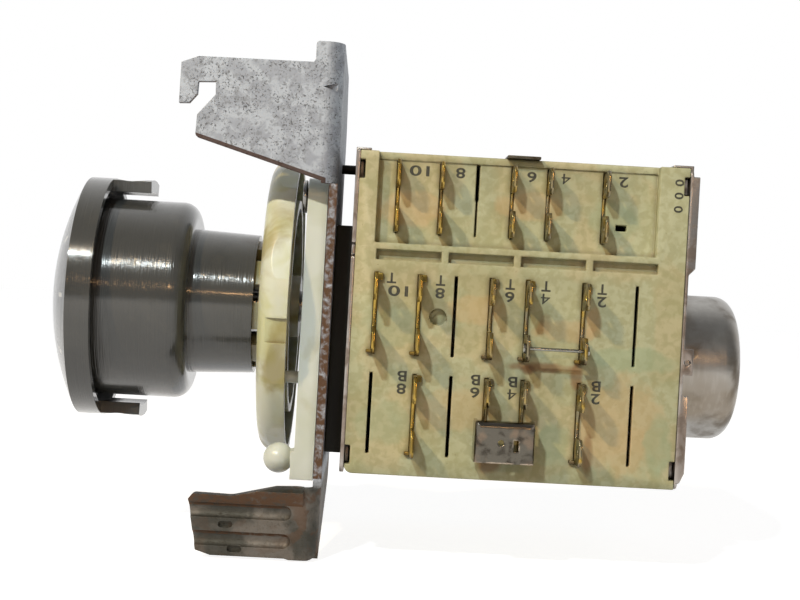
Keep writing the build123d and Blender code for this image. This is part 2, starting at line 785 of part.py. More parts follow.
def gear(teeth, x0, x1, y, z, turn):
    """A spur gear: turn is the angle of the middle of one tooth."""
    pitch_r = teeth * module / 2
    step = 360.0 / teeth
    points = []
    for tooth in range(teeth):
        middle = turn + tooth * step
        for radius, share in ((pitch_r - 1.1 * module, -0.30), (pitch_r + 0.85 * module, -0.10),
                              (pitch_r + 0.85 * module, 0.10), (pitch_r - 1.1 * module, 0.30)):
            points.append(polar(radius, middle + share * step))
    return Pos(0, y, z) * slab_x(outline(points), x0, x1)


def motor_rotor():
    """The magnet of the motor with its shaft and pinion."""
    x0 = x_motor + 2.4
    body = rod(x0, x0 + 11, rotor_r, 0, motor_z)
    body += rod(x_rear_plate - 5.2, x0 + 13, rotor_shaft_r, 0, motor_z)
    return body + gear(pinion_teeth, x_rear_plate - 5.0, x_rear_plate - 1.0, 0, motor_z, idler_angle)


def idler_gear():
    """The reduction gear that the motor pinion drives."""
    half = 180.0 / wheel_teeth
    body = gear(wheel_teeth, x_idler_wheel, x_idler_wheel + wheel_w, idler_y, idler_z,
                idler_angle + 180.0 + half)
    body += gear(pinion_teeth, x_drive_wheel - 0.8, x_idler_wheel, idler_y, idler_z, drive_angle)
    return body - rod(x_ratchet, x_rear_plate, post_r + running_fit, idler_y, idler_z)


def drive_wheel():
    """The slow wheel, with the eccentric that works the pawl."""
    half = 180.0 / wheel_teeth
    body = gear(wheel_teeth, x_drive_wheel, x_drive_wheel + wheel_w, drive_y, drive_z,
                drive_angle + 180.0 + half)
    body += rod(x_ratchet, x_drive_wheel, eccentric_r, drive_y, drive_z + eccentric_shift)
    return body - rod(x_ratchet - 1, x_rear_plate, post_r + running_fit, drive_y, drive_z)


def pawl(side, tail):
    """A pawl of the ratchet: the one with a tail is worked by the eccentric."""
    tail_z = drive_z + eccentric_shift + eccentric_r + 0.6
    points = [(pawl_y + 2.2, pawl_z + 1.0), (pawl_y + 0.6, pawl_z + 2.4), (pawl_y - 6, pawl_z + 1.4),
              polar(ratchet_r + 1.02, 48.6), polar(ratchet_r + 0.36, 44.4),
              (pawl_y - 5, pawl_z - 2.4)]
    if tail:
        points += [(pawl_y - 3.2, tail_z), (pawl_y - 1.0, tail_z), (pawl_y + 1.6, pawl_z - 2.2)]
    else:
        points += [(pawl_y + 1.0, pawl_z - 2.2)]
    mirrored = [(side * y, z) for y, z in points]
    body = slab_x(outline(mirrored), x_ratchet + 0.5, x_ratchet_end - 0.5)
    return body - rod(x_ratchet - 1, x_ratchet_end + 1, post_r + running_fit, side * pawl_y, pawl_z)


def gear_posts():
    """The steel posts that stand on the rear plate."""
    fronts = (x_drive_wheel - 1.6, x_ratchet - 0.4, x_ratchet - 0.4, x_ratchet - 0.4)
    pins = []
    for (y, z, radius), front in zip(posts(), fronts):
        pins.append(rod(front, x_motor, radius, y, z))
    return Compound(pins)


def motor_can():
    """The drawn steel can of the motor."""
    x1 = x_motor + motor_len
    shell = turned([(x_motor, can_r - can_t), (x_motor, can_r), (x1, can_r), (x1, 0),
                    (x1 - can_t, 0), (x1 - can_t, can_r - can_round), (x1 - can_round, can_r - can_t)],
                   [((x1, can_r), can_round)])
    return Pos(0, 0, motor_z) * shell


def motor_end_plate():
    """The plate that closes the can on the gear side."""
    return tube(x_motor, x_motor + 1.2, can_r - can_t, rotor_shaft_r + running_fit, 0, motor_z)


def motor_coil():
    """The winding and its poles, round the magnet."""
    x0 = x_motor + 1.2
    return tube(x0, x0 + coil_len, can_r - can_t - running_fit, coil_r_in, 0, motor_z)


def housing_clip():
    """The spring steel strip over the top that holds the two halves together."""
    reach = body_d / 2 - 0.2
    return block(strip_x0, strip_x0 + strip_w, -reach, reach, z_top, z_top + strip_t)


def bridge_clip():
    """The folded steel link that joins two neighbouring terminals."""
    x0 = columns["6"] - tab_t / 2 - clip_side
    x1 = columns["4"] + tab_t / 2 + clip_side
    y_tip = y_face - tab_out
    y_out = y_tip - clip_t
    y_end = y_tip + clip_depth
    z0 = clip_z - clip_h / 2
    z1 = clip_z + clip_h / 2
    outer = block(x0 - clip_t, x1 + clip_t, y_out, y_end, z0, z1)
    corners = outer.edges().filter_by(Axis.Z).group_by(Axis.Y)[0]
    outer = fillet(corners + outer.edges().filter_by(Axis.X).group_by(Axis.Y)[0].sort_by(Axis.Z)[-1:],
                   clip_bend)
    inner = block(x0, x1, y_tip, y_end + 1, z0 - 1, z1 - clip_t)
    inner = fillet(inner.edges().filter_by(Axis.Z).group_by(Axis.Y)[0], clip_bend - clip_t)
    body = outer - inner
    body -= block(x0, x1, y_tip + clip_depth / 2, y_end + 1, z0 - 1, z1 + 1)
    middle = (x0 + x1) / 2
    body -= cross_rod(y_out - 1, y_tip + 1, 0.7, middle - 0.9, clip_z)
    body -= block(middle + 2.0, middle + 3.2, y_out - 1, y_tip + 0.5, clip_z - 1.9, clip_z + 0.7)
    return body


def jumper_wire():
    """The bare wire soldered between two terminals of the middle row."""
    z = throw_z - row_len / 2 + tab_w / 2
    x0 = columns["4"] - tab_t / 2
    x1 = columns["2"] + tab_t / 2
    wire = rod(x0 - 0.6, x1 + 0.6, wire_r, tab_hole_y, z)
    wire += rod(x0 - 0.6, x0, wire_blob_r, tab_hole_y, z)
    return wire + rod(x1, x1 + 0.6, wire_blob_r, tab_hole_y, z)


save("mounting_bracket", mounting_bracket())
save("spacer_block", spacer_block())
save("spacer_stud", rod(bracket_t, x_front_plate, stud_r, 0, stud_z))
save("bracket_screws", Compound([screw(y, z) for y, z in screw_places]))
save("front_plate", front_plate())
save("rear_plate", rear_plate())
save("terminal_housing", terminal_housing())
save("back_housing", body_half(1))
save("housing_clip", housing_clip())
for name, x in columns.items():
    save("terminal_" + name, common_terminal(x + common_shift))
    save("terminal_" + name + "t", throw_terminal(x))
    if name != single_throw:
        save("terminal_" + name + "b", break_terminal(x))
    save("contact_spring_" + name, contact_spring(x))
save("bridge_clip", bridge_clip())
save("jumper_wire", jumper_wire())
save("motor_can", motor_can())
save("motor_end_plate", motor_end_plate())
save("motor_coil", motor_coil())
save("motor_rotor", motor_rotor())
save("idler_gear", idler_gear())
save("drive_wheel", drive_wheel())
save("drive_pawl", pawl(1, True))
save("stop_pawl", pawl(-1, False))
save("gear_posts", gear_posts())
save("program_shaft", program_shaft())
save("cam_drum", cam_drum())
save("front_bush", front_bush())
save("rear_bush", rear_bush())
save("index_disc", index_disc())
save("knob_body", knob_body())
save("knob_cap", knob_cap())
save("ball_lever", lever())
save("lever_pin", lever_pin())
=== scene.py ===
"""Looks of a washing machine timer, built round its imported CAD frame."""

import json
import logging
import math
from dataclasses import dataclass, replace
from enum import Enum
from typing import Iterable, Optional

import bmesh
import bpy
from mathutils import Matrix, Vector


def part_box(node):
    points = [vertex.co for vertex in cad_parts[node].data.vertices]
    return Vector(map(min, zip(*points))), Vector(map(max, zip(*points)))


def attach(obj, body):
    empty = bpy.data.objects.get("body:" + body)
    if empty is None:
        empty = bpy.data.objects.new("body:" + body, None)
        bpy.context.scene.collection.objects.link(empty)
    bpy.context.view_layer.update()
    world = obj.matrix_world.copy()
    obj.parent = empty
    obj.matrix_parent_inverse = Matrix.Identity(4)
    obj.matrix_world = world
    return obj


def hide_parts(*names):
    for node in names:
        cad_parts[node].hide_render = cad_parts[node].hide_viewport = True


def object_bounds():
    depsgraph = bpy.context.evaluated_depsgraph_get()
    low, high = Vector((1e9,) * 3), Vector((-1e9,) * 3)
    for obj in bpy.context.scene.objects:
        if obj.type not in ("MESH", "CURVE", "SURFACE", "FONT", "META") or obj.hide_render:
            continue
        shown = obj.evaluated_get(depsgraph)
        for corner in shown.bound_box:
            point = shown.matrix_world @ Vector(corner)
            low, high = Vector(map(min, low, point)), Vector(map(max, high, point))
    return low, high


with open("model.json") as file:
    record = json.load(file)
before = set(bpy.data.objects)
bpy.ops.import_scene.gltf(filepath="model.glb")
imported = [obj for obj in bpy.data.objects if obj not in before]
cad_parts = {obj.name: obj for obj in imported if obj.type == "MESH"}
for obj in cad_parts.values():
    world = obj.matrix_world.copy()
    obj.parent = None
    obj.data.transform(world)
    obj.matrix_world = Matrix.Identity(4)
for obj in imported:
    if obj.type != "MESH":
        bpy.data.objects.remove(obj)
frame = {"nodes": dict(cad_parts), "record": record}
CAD_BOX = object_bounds()

MM = 0.001
STAIN_SEED = 3.7
SPECK_SEED = 1.9
BREAKUP_SHIFT = (0.013, 0.0, 0.0)
FACING = -0.5
RAY_SAMPLES = 6
PIT_SHARE = 0.35
SPADE_ROUNDING = 0.1
BATCH_SIZE = (1.6, 2.1)
PAIR_SIZE = (4.7, 2.5)
SINGLE_SIZE = (2.2, 2.5)
log = logging.getLogger("timer")

Rgb = tuple[int, int, int]
Point = tuple[float, float, float]
Row = tuple[tuple[str, float], ...]
Socket = bpy.types.NodeSocket


class Metal(Enum):
    """Whether a finish is bare metal or not."""

    NO = 0.0
    YES = 1.0


def linear(colour: Rgb) -> tuple[float, float, float, float]:
    """Turns a colour of 0 to 255 into the linear colour that shaders take.

    Args:
        colour: red, green and blue as a photograph shows them.

    Returns:
        Linear red, green, blue and an alpha of 1.
    """
    parts = []
    for level in colour:
        share = level / 255
        parts.append(share / 12.92 if share <= 0.04045 else ((share + 0.055) / 1.055) ** 2.4)
    return (*parts, 1.0)


def millimetres(corner: Vector) -> Vector:
    """Turns a place in metres into millimetres."""
    return corner / MM


class Graph:
    """Adds shader nodes to one tree and links them."""

    def __init__(self, tree: bpy.types.NodeTree) -> None:
        """Keeps the tree that the nodes go into."""
        self.tree = tree

    def add(self, kind: str, inputs: Optional[dict] = None, **settings: object) -> bpy.types.Node:
        """Adds one node.

        Args:
            kind: the node's Blender type.
            inputs: values or sockets for its inputs, by name or number.
            settings: properties of the node itself.

        Returns:
            The new node.
        """
        node = self.tree.nodes.new(kind)
        for name, value in settings.items():
            setattr(node, name, value)
        for key, value in (inputs or {}).items():
            if isinstance(value, Socket):
                self.tree.links.new(value, node.inputs[key])
            else:
                node.inputs[key].default_value = value
        return node

    def math(self, operation: str, first: object, second: object = 0.0,
             clamp: bool = False) -> Socket:
        """Adds a Math node and returns its output."""
        node = self.add("ShaderNodeMath", {0: first, 1: second},
                        operation=operation, use_clamp=clamp)
        return node.outputs[0]

    def times(self, first: object, second: object) -> Socket:
        """Multiplies two values and returns the product."""
        return self.math("MULTIPLY", first, second)

    def axes(self) -> bpy.types.Node:
        """Adds the object coordinates, split into their three axes."""
        place = self.add("ShaderNodeTexCoord").outputs["Object"]
        return self.add("ShaderNodeSeparateXYZ", {0: place})

    def mix(self, share: object, low: object, high: object) -> Socket:
        """Mixes two colours and returns the mixed one."""
        return self.add("ShaderNodeMix", {0: share, 6: low, 7: high}, data_type="RGBA").outputs[2]

    def ramp(self, value: object, low: object, high: object, to_low: float = 0.0,
             to_high: float = 1.0, kind: str = "SMOOTHSTEP") -> Socket:
        """Maps a value from one range to another.

        Args:
            value: the socket or number to map.
            low: where the range starts.
            high: where the range ends.
            to_low: the result at the start.
            to_high: the result at the end.
            kind: the form of the passage between them.

        Returns:
            The mapped value's socket.
        """
        node = self.add("ShaderNodeMapRange", {0: value, 1: low, 2: high, 3: to_low, 4: to_high},
                        interpolation_type=kind)
        return node.outputs[0]

    def group(self, tree: bpy.types.NodeTree, **inputs: object) -> bpy.types.Node:
        """Places a node group.

        Args:
            tree: the group.
            inputs: values or sockets, by the input's name with _ for a space.

        Returns:
            The group's node.
        """
        named = {name.replace("_", " "): value for name, value in inputs.items()}
        return self.add("ShaderNodeGroup", named, node_tree=tree)


class Effects:
    """The shader groups that several finishes share."""

    spot_level = 0.78
    spot_gain = 0.3
    spot_edge = 0.05
    group_scale = 0.08
    group_level = 0.75
    group_gain = 0.5
    group_edge = 0.12
    wear_from = 0.38
    wear_to = 0.6
    patch_rim = 1.8
    patch_rag = 1.6

    def __init__(self) -> None:
        """Builds each group once."""
        self.blotches = self._blotches()
        self.specks = self._specks()
        self.edges = self._edges()
        self.streaks = self._streaks_and_sheen()
        self.grime_and_shade = self._grime_and_shade()
        self.patch = self._patch()

    @staticmethod
    def _new(name: str, inputs: dict[str, float]) -> tuple[Graph, bpy.types.Node, bpy.types.Node]:
        """Starts a group that puts out a mask.

        Args:
            name: the group's name.
            inputs: the number inputs with their usual values.

        Returns:
            The graph, the group's input node and its output node.
        """
        tree = bpy.data.node_groups.new(name, "ShaderNodeTree")
        for title, value in inputs.items():
            socket = tree.interface.new_socket(title, in_out="INPUT",
                                               socket_type="NodeSocketFloat")
            socket.default_value = value
        tree.interface.new_socket("Mask", in_out="OUTPUT", socket_type="NodeSocketFloat")
        graph = Graph(tree)
        return graph, graph.add("NodeGroupInput"), graph.add("NodeGroupOutput")

    @staticmethod
    def _place(graph: Graph, offset: object,
               stretch: Point = (1.0, 1.0, 1.0)) -> Socket:
        """Object coordinates, moved by an offset so that two patterns differ.

        Args:
            graph: the group's graph.
            offset: how far the pattern is moved.
            stretch: how much each axis is pressed together.

        Returns:
            The coordinate's socket.
        """
        place = graph.add("ShaderNodeTexCoord").outputs["Object"]
        moved = graph.add("ShaderNodeVectorMath", {0: place, 1: offset}, operation="ADD")
        scaled = graph.add("ShaderNodeVectorMath", {0: moved.outputs[0], 1: stretch},
                           operation="MULTIPLY")
        return scaled.outputs[0]

    def _blotches(self) -> bpy.types.NodeTree:
        """Soft patches, as stains and uneven plating have."""
        graph, given, result = self._new(
            "Blotches", {"Scale": 60.0, "Detail": 3.0, "Low": 0.45, "High": 0.6, "Seed": 0.0})
        noise = graph.add("ShaderNodeTexNoise", {
            "Vector": self._place(graph, given.outputs["Seed"]),
            "Scale": given.outputs["Scale"], "Detail": given.outputs["Detail"], "Distortion": 0.4})
        mask = graph.ramp(noise.outputs[0], given.outputs["Low"], given.outputs["High"])
        graph.tree.links.new(mask, result.inputs["Mask"])
        return graph.tree

    def _specks(self) -> bpy.types.NodeTree:
        """Small ragged spots in loose groups, as soiling and corrosion leave."""
        graph, given, result = self._new(
            "Specks", {"Scale": 1100.0, "Size": 0.3, "Cover": 0.5, "Seed": 0.0})
        place = self._place(graph, given.outputs["Seed"])
        fine = graph.add("ShaderNodeTexNoise", {
            "Vector": place, "Scale": given.outputs["Scale"], "Detail": 3.0, "Roughness": 0.7})
        least = graph.math("SUBTRACT", self.spot_level,
                           graph.times(given.outputs["Size"], self.spot_gain))
        spot = graph.ramp(fine.outputs[0], least, graph.math("ADD", least, self.spot_edge),
                          kind="LINEAR")
        broad = graph.add("ShaderNodeTexNoise", {
            "Vector": place, "Scale": graph.times(given.outputs["Scale"], self.group_scale)})
        bare = graph.math("SUBTRACT", self.group_level,
                          graph.times(given.outputs["Cover"], self.group_gain))
        group = graph.ramp(broad.outputs[0], bare, graph.math("ADD", bare, self.group_edge),
                           kind="LINEAR")
        graph.tree.links.new(graph.times(spot, group), result.inputs["Mask"])
        return graph.tree

    def _edges(self) -> bpy.types.NodeTree:
        """Where a surface turns sharply, broken up as wear is, with a rounded normal."""
        graph, given, result = self._new(
            "Edges", {"Radius": 0.0005, "Gain": 8.0, "Breakup": 400.0, "Round": 0.00025})
        graph.tree.interface.new_socket("Normal", in_out="OUTPUT", socket_type="NodeSocketVector")
        wide = graph.add("ShaderNodeBevel", {"Radius": given.outputs["Radius"]},
                         samples=RAY_SAMPLES)
        flat = graph.add("ShaderNodeNewGeometry").outputs["Normal"]
        same = graph.add("ShaderNodeVectorMath", {0: wide.outputs[0], 1: flat},
                         operation="DOT_PRODUCT")
        turn = graph.math("SUBTRACT", 1.0, same.outputs["Value"])
        strong = graph.math("MULTIPLY", turn, given.outputs["Gain"], clamp=True)
        noise = graph.add("ShaderNodeTexNoise", {
            "Vector": self._place(graph, BREAKUP_SHIFT), "Scale": given.outputs["Breakup"],
            "Detail": 3.0})
        broken = graph.ramp(noise.outputs[0], self.wear_from, self.wear_to)
        graph.tree.links.new(graph.times(strong, broken), result.inputs["Mask"])
        soft = graph.add("ShaderNodeBevel", {"Radius": given.outputs["Round"]},
                         samples=RAY_SAMPLES)
        graph.tree.links.new(soft.outputs[0], result.inputs["Normal"])
        return graph.tree

    def _streaks_and_sheen(self) -> bpy.types.NodeTree:
        """Fine lines along Z, as rolling and rubbing leave; on the drawn can they are painted reflection
        lines.
        """
        graph, given, result = self._new(
            "Streaks", {"Scale": 900.0, "Low": 0.5, "High": 0.7, "Seed": 0.0})
        noise = graph.add("ShaderNodeTexNoise", {
            "Vector": self._place(graph, given.outputs["Seed"], (1.0, 1.0, 0.06)),
            "Scale": given.outputs["Scale"], "Detail": 2.0})
        mask = graph.ramp(noise.outputs[0], given.outputs["Low"], given.outputs["High"],
                          kind="LINEAR")
        graph.tree.links.new(mask, result.inputs["Mask"])
        return graph.tree

    def _grime_and_shade(self) -> bpy.types.NodeTree:
        """Darkening in corners and slots by how enclosed they are: partly soiling, partly painted shade.
        """
        graph, given, result = self._new("GrimeAndShade", {"Reach": 0.003, "Low": 0.5, "High": 0.95})
        near = graph.add("ShaderNodeAmbientOcclusion", {"Distance": given.outputs["Reach"]},
                         samples=RAY_SAMPLES)
        mask = graph.ramp(near.outputs["AO"], given.outputs["Low"], given.outputs["High"],
                          1.0, 0.0, "LINEAR")
        graph.tree.links.new(mask, result.inputs["Mask"])
        return graph.tree

    def _patch(self) -> bpy.types.NodeTree:
        """One soft patch at a place on the face, with a ragged rim; the face's painted light and shadow
        patches and its rust-brown marks both use it.
        """
        graph, given, result = self._new(
            "Patch", {"X": 0.0, "Z": 0.0, "Half X": 0.01, "Half Z": 0.01, "Soft": 0.6})
        place = self._place(graph, (0.0, 0.0, 0.0))
        bend = graph.add("ShaderNodeTexNoise", {"Vector": place, "Scale": 240.0, "Detail": 4.0})
        axes = graph.add("ShaderNodeSeparateXYZ", {0: place})
        wide = graph.math("DIVIDE", graph.math("SUBTRACT", axes.outputs[0], given.outputs["X"]),
                          given.outputs["Half X"])
        tall = graph.math("DIVIDE", graph.math("SUBTRACT", axes.outputs[2], given.outputs["Z"]),
                          given.outputs["Half Z"])
        square = graph.math("ADD", graph.times(wide, wide), graph.times(tall, tall))
        ragged = graph.math("ADD", square, graph.times(bend.outputs[0], self.patch_rag))
        start = graph.math("SUBTRACT", self.patch_rim, given.outputs["Soft"])
        mask = graph.ramp(ragged, start, self.patch_rim, 1.0, 0.0)
        graph.tree.links.new(mask, result.inputs["Mask"])
        return graph.tree


@dataclass(frozen=True)
class Finish:
    """One finish: its colours, the scale of its staining, its wear and its gloss."""

    name: str
    slot: str
    base: Rgb
    tint: Rgb
    stain: Rgb
    edge: Rgb
    dirt_and_shade: Rgb = (40, 34, 22)
    metal: Metal = Metal.NO
    rough_low: float = 0.35
    rough_high: float = 0.55
    tint_scale: float = 60.0
    tint_from: float = 0.42
    tint_to: float = 0.62
    stain_scale: float = 140.0
    stain_from: float = 0.55
    stain_to: float = 0.68
    stain_share: float = 0.7
    speck_scale: float = 900.0
    speck_cover: float = 0.25
    speck_size: float = 0.3
    speck_share: float = 0.5
    edge_share: float = 0.6
    edge_width: float = 0.5
    rounding: float = 0.25
    grime_and_shade_share: float = 0.5
    grime_and_shade_reach: float = 2.5
    streak_and_sheen_share: float = 0.0
    grain_scale: float = 1400.0
    grain_depth: float = 0.02
    rust: float = 0.0
    grain_stretch: Point = (1.0, 1.0, 1.0)
    shine: float = 0.5
    seed: float = 0.0

    def colour(self, graph: Graph, effects: Effects) -> tuple[Socket, Socket]:
        """Builds the colour and the share of it that is dull.

        Args:
            graph: the material's graph.
            effects: the shared groups.

        Returns:
            The colour's socket and the dull share's socket.
        """
        tint = graph.group(effects.blotches, Scale=self.tint_scale, Low=self.tint_from,
                           High=self.tint_to, Seed=self.seed)
        stain = graph.group(effects.blotches, Scale=self.stain_scale, Detail=6.0,
                            Low=self.stain_from, High=self.stain_to, Seed=self.seed + STAIN_SEED)
        stained = graph.times(stain.outputs[0], self.stain_share)
        colour = graph.mix(tint.outputs[0], linear(self.base), linear(self.tint))
        colour = graph.mix(stained, colour, linear(self.stain))
        # painted reflection on the can: light lines along Z in the edge colour; on the winding they are
        # rubbing lines
        if self.streak_and_sheen_share:
            streak_and_sheen = graph.group(effects.streaks, Seed=self.seed)
            colour = graph.mix(graph.times(streak_and_sheen.outputs[0], self.streak_and_sheen_share),
                               colour, linear(self.edge))
        speck = graph.group(effects.specks, Scale=self.speck_scale, Size=self.speck_size,
                            Cover=self.speck_cover, Seed=self.seed + SPECK_SEED)
        specked = graph.times(speck.outputs[0], self.speck_share)
        colour = graph.mix(specked, colour, linear(self.dirt_and_shade))
        # painted shade: corners and slots are darkened towards the soil colour, partly as soiling and
        # partly as shade
        if self.grime_and_shade_share:
            grime_and_shade = graph.group(effects.grime_and_shade, Reach=self.grime_and_shade_reach * MM)
            colour = graph.mix(graph.times(grime_and_shade.outputs[0], self.grime_and_shade_share),
                               colour, linear(self.dirt_and_shade))
        dull = graph.math("MAXIMUM", stained, specked)
        return colour, dull

    def extra(self, graph: Graph, effects: Effects,
              colour: Socket) -> Socket:
        """Lays what only this finish has over the colour; a plain finish has nothing more."""
        return colour

    def build(self, effects: Effects) -> bpy.types.Material:
        """Makes the material.

        Args:
            effects: the shared groups.

        Returns:
            The new material.
        """
        material = bpy.data.materials.new(self.name)
        material.use_nodes = True
        material.node_tree.nodes.clear()
        graph = Graph(material.node_tree)
        colour, dull = self.colour(graph, effects)
        edges = graph.group(effects.edges, Radius=self.edge_width * MM, Round=self.rounding * MM)
        worn = graph.times(edges.outputs["Mask"], self.edge_share)
        colour = graph.mix(worn, colour, linear(self.edge))
        colour = self.extra(graph, effects, colour)
        rough = graph.ramp(dull, 0.0, 1.0, self.rough_low, self.rough_high)
        place = graph.add("ShaderNodeVectorMath", {
            0: graph.add("ShaderNodeTexCoord").outputs["Object"], 1: self.grain_stretch},
            operation="MULTIPLY")
        grain = graph.add("ShaderNodeTexNoise", {
            "Vector": place.outputs[0], "Scale": self.grain_scale, "Detail": 3.0})
        height = graph.math("SUBTRACT", grain.outputs[0], graph.times(dull, PIT_SHARE))
        bump = graph.add("ShaderNodeBump", {
            "Strength": 1.0, "Distance": self.grain_depth * MM, "Height": height,
            "Normal": edges.outputs["Normal"]})
        shader = graph.add("ShaderNodeBsdfPrincipled", {
            "Base Color": colour, "Roughness": rough, "Normal": bump.outputs[0],
            "Metallic": self.metal.value, "Specular IOR Level": self.shine})
        if self.metal is Metal.YES and self.rust:
            clean = graph.math("SUBTRACT", 1.0, graph.times(dull, self.rust), clamp=True)
            graph.tree.links.new(clean, shader.inputs["Metallic"])
        self.finish(shader)
        output = graph.add("ShaderNodeOutputMaterial")
        graph.tree.links.new(shader.outputs[0], output.inputs[0])
        return material

    def finish(self, shader: bpy.types.Node) -> None:
        """Sets what is the same all over; a plain finish keeps the shader as it is."""


@dataclass(frozen=True)
class KnobFinish(Finish):
    """Polished dark plastic with printed ticks round the dome."""

    tick_count: int = 12
    tick_in: float = 25.6
    tick_out: float = 28.6
    tick_front: float = -61.5
    tick_half: float = 0.035
    tick_colour: Rgb = (190, 192, 188)
    coat: float = 0.4
    coat_rough: float = 0.08
    refraction: float = 1.5

    def extra(self, graph: Graph, effects: Effects,
              colour: Socket) -> Socket:
        """Prints short pale ticks on the dome.

        Args:
            graph: the material's graph.
            effects: the shared groups.
            colour: the colour so far.

        Returns:
            The colour with the ticks on it.
        """
        axes = graph.axes()
        angle = graph.math("ARCTAN2", axes.outputs[2], axes.outputs[1])
        turn = graph.times(angle, self.tick_count / math.tau)
        share = graph.math("PINGPONG", turn, 0.5)
        line = graph.math("LESS_THAN", share, self.tick_half)
        flat = graph.add("ShaderNodeCombineXYZ", {1: axes.outputs[1], 2: axes.outputs[2]})
        reach = graph.add("ShaderNodeVectorMath", {0: flat.outputs[0]}, operation="LENGTH")
        inside = graph.math("GREATER_THAN", reach.outputs["Value"], self.tick_in * MM)
        outside = graph.math("LESS_THAN", reach.outputs["Value"], self.tick_out * MM)
        front = graph.math("LESS_THAN", axes.outputs[0], self.tick_front * MM)
        ring = graph.times(graph.times(inside, outside), front)
        wear = graph.group(effects.blotches, Scale=700.0, Low=0.35, High=0.5, Seed=2.2)
        ink = graph.times(graph.times(ring, line), wear.outputs[0])
        return graph.mix(ink, colour, linear(self.tick_colour))

    def finish(self, shader: bpy.types.Node) -> None:
        """Gives the plastic its polish."""
        shader.inputs["IOR"].default_value = self.refraction
        shader.inputs["Coat Weight"].default_value = self.coat
        shader.inputs["Coat Roughness"].default_value = self.coat_rough


@dataclass(frozen=True)
class NylonFinish(Finish):
    """Moulded nylon that lets some light in."""

    depth: float = 0.2
    scatter_reach: float = 2.0
    scatter: Point = (1.0, 0.85, 0.4)
    coat: float = 0.15
    coat_rough: float = 0.2

    def finish(self, shader: bpy.types.Node) -> None:
        """Lets light scatter below the surface."""
        shader.inputs["Subsurface Weight"].default_value = self.depth
        shader.inputs["Subsurface Scale"].default_value = self.scatter_reach * MM
        shader.inputs["Subsurface Radius"].default_value = self.scatter
        shader.inputs["Coat Weight"].default_value = self.coat
        shader.inputs["Coat Roughness"].default_value = self.coat_rough


@dataclass(frozen=True)
class SpadeFinish(Finish):
    """Brass spades: golden at the knob end, greyer towards the motor end as tinning and as painted
    reflection on the side faces that show there, darker at their feet.
    """

    golden_to: float = 20.0
    tin_and_reflection_from: float = 52.0
    tin_and_reflection: Rgb = (122, 120, 106)
    feet_dark: Rgb = (60, 42, 24)
    feet: tuple[float, ...] = (-33.2, -9.5)
    foot_height: float = 1.6
    tin_and_reflection_share: float = 0.75
    feet_dark_share: float = 0.8

    def extra(self, graph: Graph, effects: Effects,
              colour: Socket) -> Socket:
        """Fades the brass to grey towards the motor end, tinning and painted reflection together, and
        darkens the terminals' feet.

        Args:
            graph: the material's graph.
            effects: the shared groups.
            colour: the colour so far.

        Returns:
            The faded colour.
        """
        axes = graph.axes()
        # painted reflection: grey grows with X, where the side faces that show reflect the face behind
        # them; partly real tinning
        share = graph.ramp(axes.outputs[0], self.golden_to * MM, self.tin_and_reflection_from * MM,
                           to_high=self.tin_and_reflection_share)
        patch = graph.group(effects.blotches, Scale=260.0, Low=0.35, High=0.6, Seed=5.0)
        colour = graph.mix(graph.times(share, patch.outputs[0]), colour, linear(self.tin_and_reflection))
        # darker brown bands at the terminals' feet
        for foot in self.feet:
            away = graph.math("ABSOLUTE", graph.math("SUBTRACT", axes.outputs[2], foot * MM))
            near = graph.ramp(away, 0.0, self.foot_height * MM, self.feet_dark_share, 0.0)
            colour = graph.mix(near, colour, linear(self.feet_dark))
        return colour


@dataclass(frozen=True)
class FacePatch:
    """One patch on the terminal face: its middle, its half sizes, its colour and its share. The peach
    and mint patches are painted warm and cool light and shadow; the rust and brown ones are rust-brown
    marks.
    """

    x: float
    z: float
    half_x: float
    half_z: float
    colour: Rgb
    share: float
    soft: float = 0.6


PEACH_PAINTED_LIGHT = (206, 172, 124)
MINT_PAINTED_LIGHT = (156, 174, 140)
OLIVE = (140, 136, 88)
RUST = (134, 92, 50)
BROWN = (96, 66, 32)


@dataclass(frozen=True)
class BodyFinish(Finish):
    """Old pale moulding: mint and tan blotches, partly its own tone and partly painted warm and cool
    light, with placed patches of painted light and shadow in peach and mint and rust-brown patches
    beside the links.
    """

    face_patches: tuple[FacePatch, ...] = ()
    fleck_share: float = 0.34
    dot_share: float = 0.75
    dots_from: float = 48.0
    dots_to: float = 74.0
    dots_least: float = 0.25

    def extra(self, graph: Graph, effects: Effects,
              colour: Socket) -> Socket:
        """Lays each face patch at its place: painted light and shadow in peach and mint, and rust-brown
        marks.

        Args:
            graph: the material's graph.
            effects: the shared groups.
            colour: the colour so far.

        Returns:
            The stained colour.
        """
        fleck = graph.group(effects.blotches, Scale=520.0, Detail=5.0, Low=0.4, High=0.62,
                            Seed=8.4)
        colour = graph.mix(graph.times(fleck.outputs[0], self.fleck_share), colour, linear(OLIVE))
        # painted light and shadow: the peach and mint patches; the rust and brown ones are rust-brown
        # marks
        for stain in self.face_patches:
            mask = graph.group(effects.patch, X=stain.x * MM, Z=stain.z * MM,
                               Half_X=stain.half_x * MM, Half_Z=stain.half_z * MM,
                               Soft=stain.soft)
            colour = graph.mix(graph.times(mask.outputs[0], stain.share), colour,
                               linear(stain.colour))
        place = graph.axes()
        right = graph.ramp(place.outputs[0], self.dots_from * MM, self.dots_to * MM,
                           self.dots_least)
        dots = graph.group(effects.specks, Scale=620.0, Size=0.2, Cover=0.6, Seed=4.2)
        spotted = graph.times(graph.times(dots.outputs[0], right), self.dot_share)
        return graph.mix(spotted, colour, linear(BROWN))


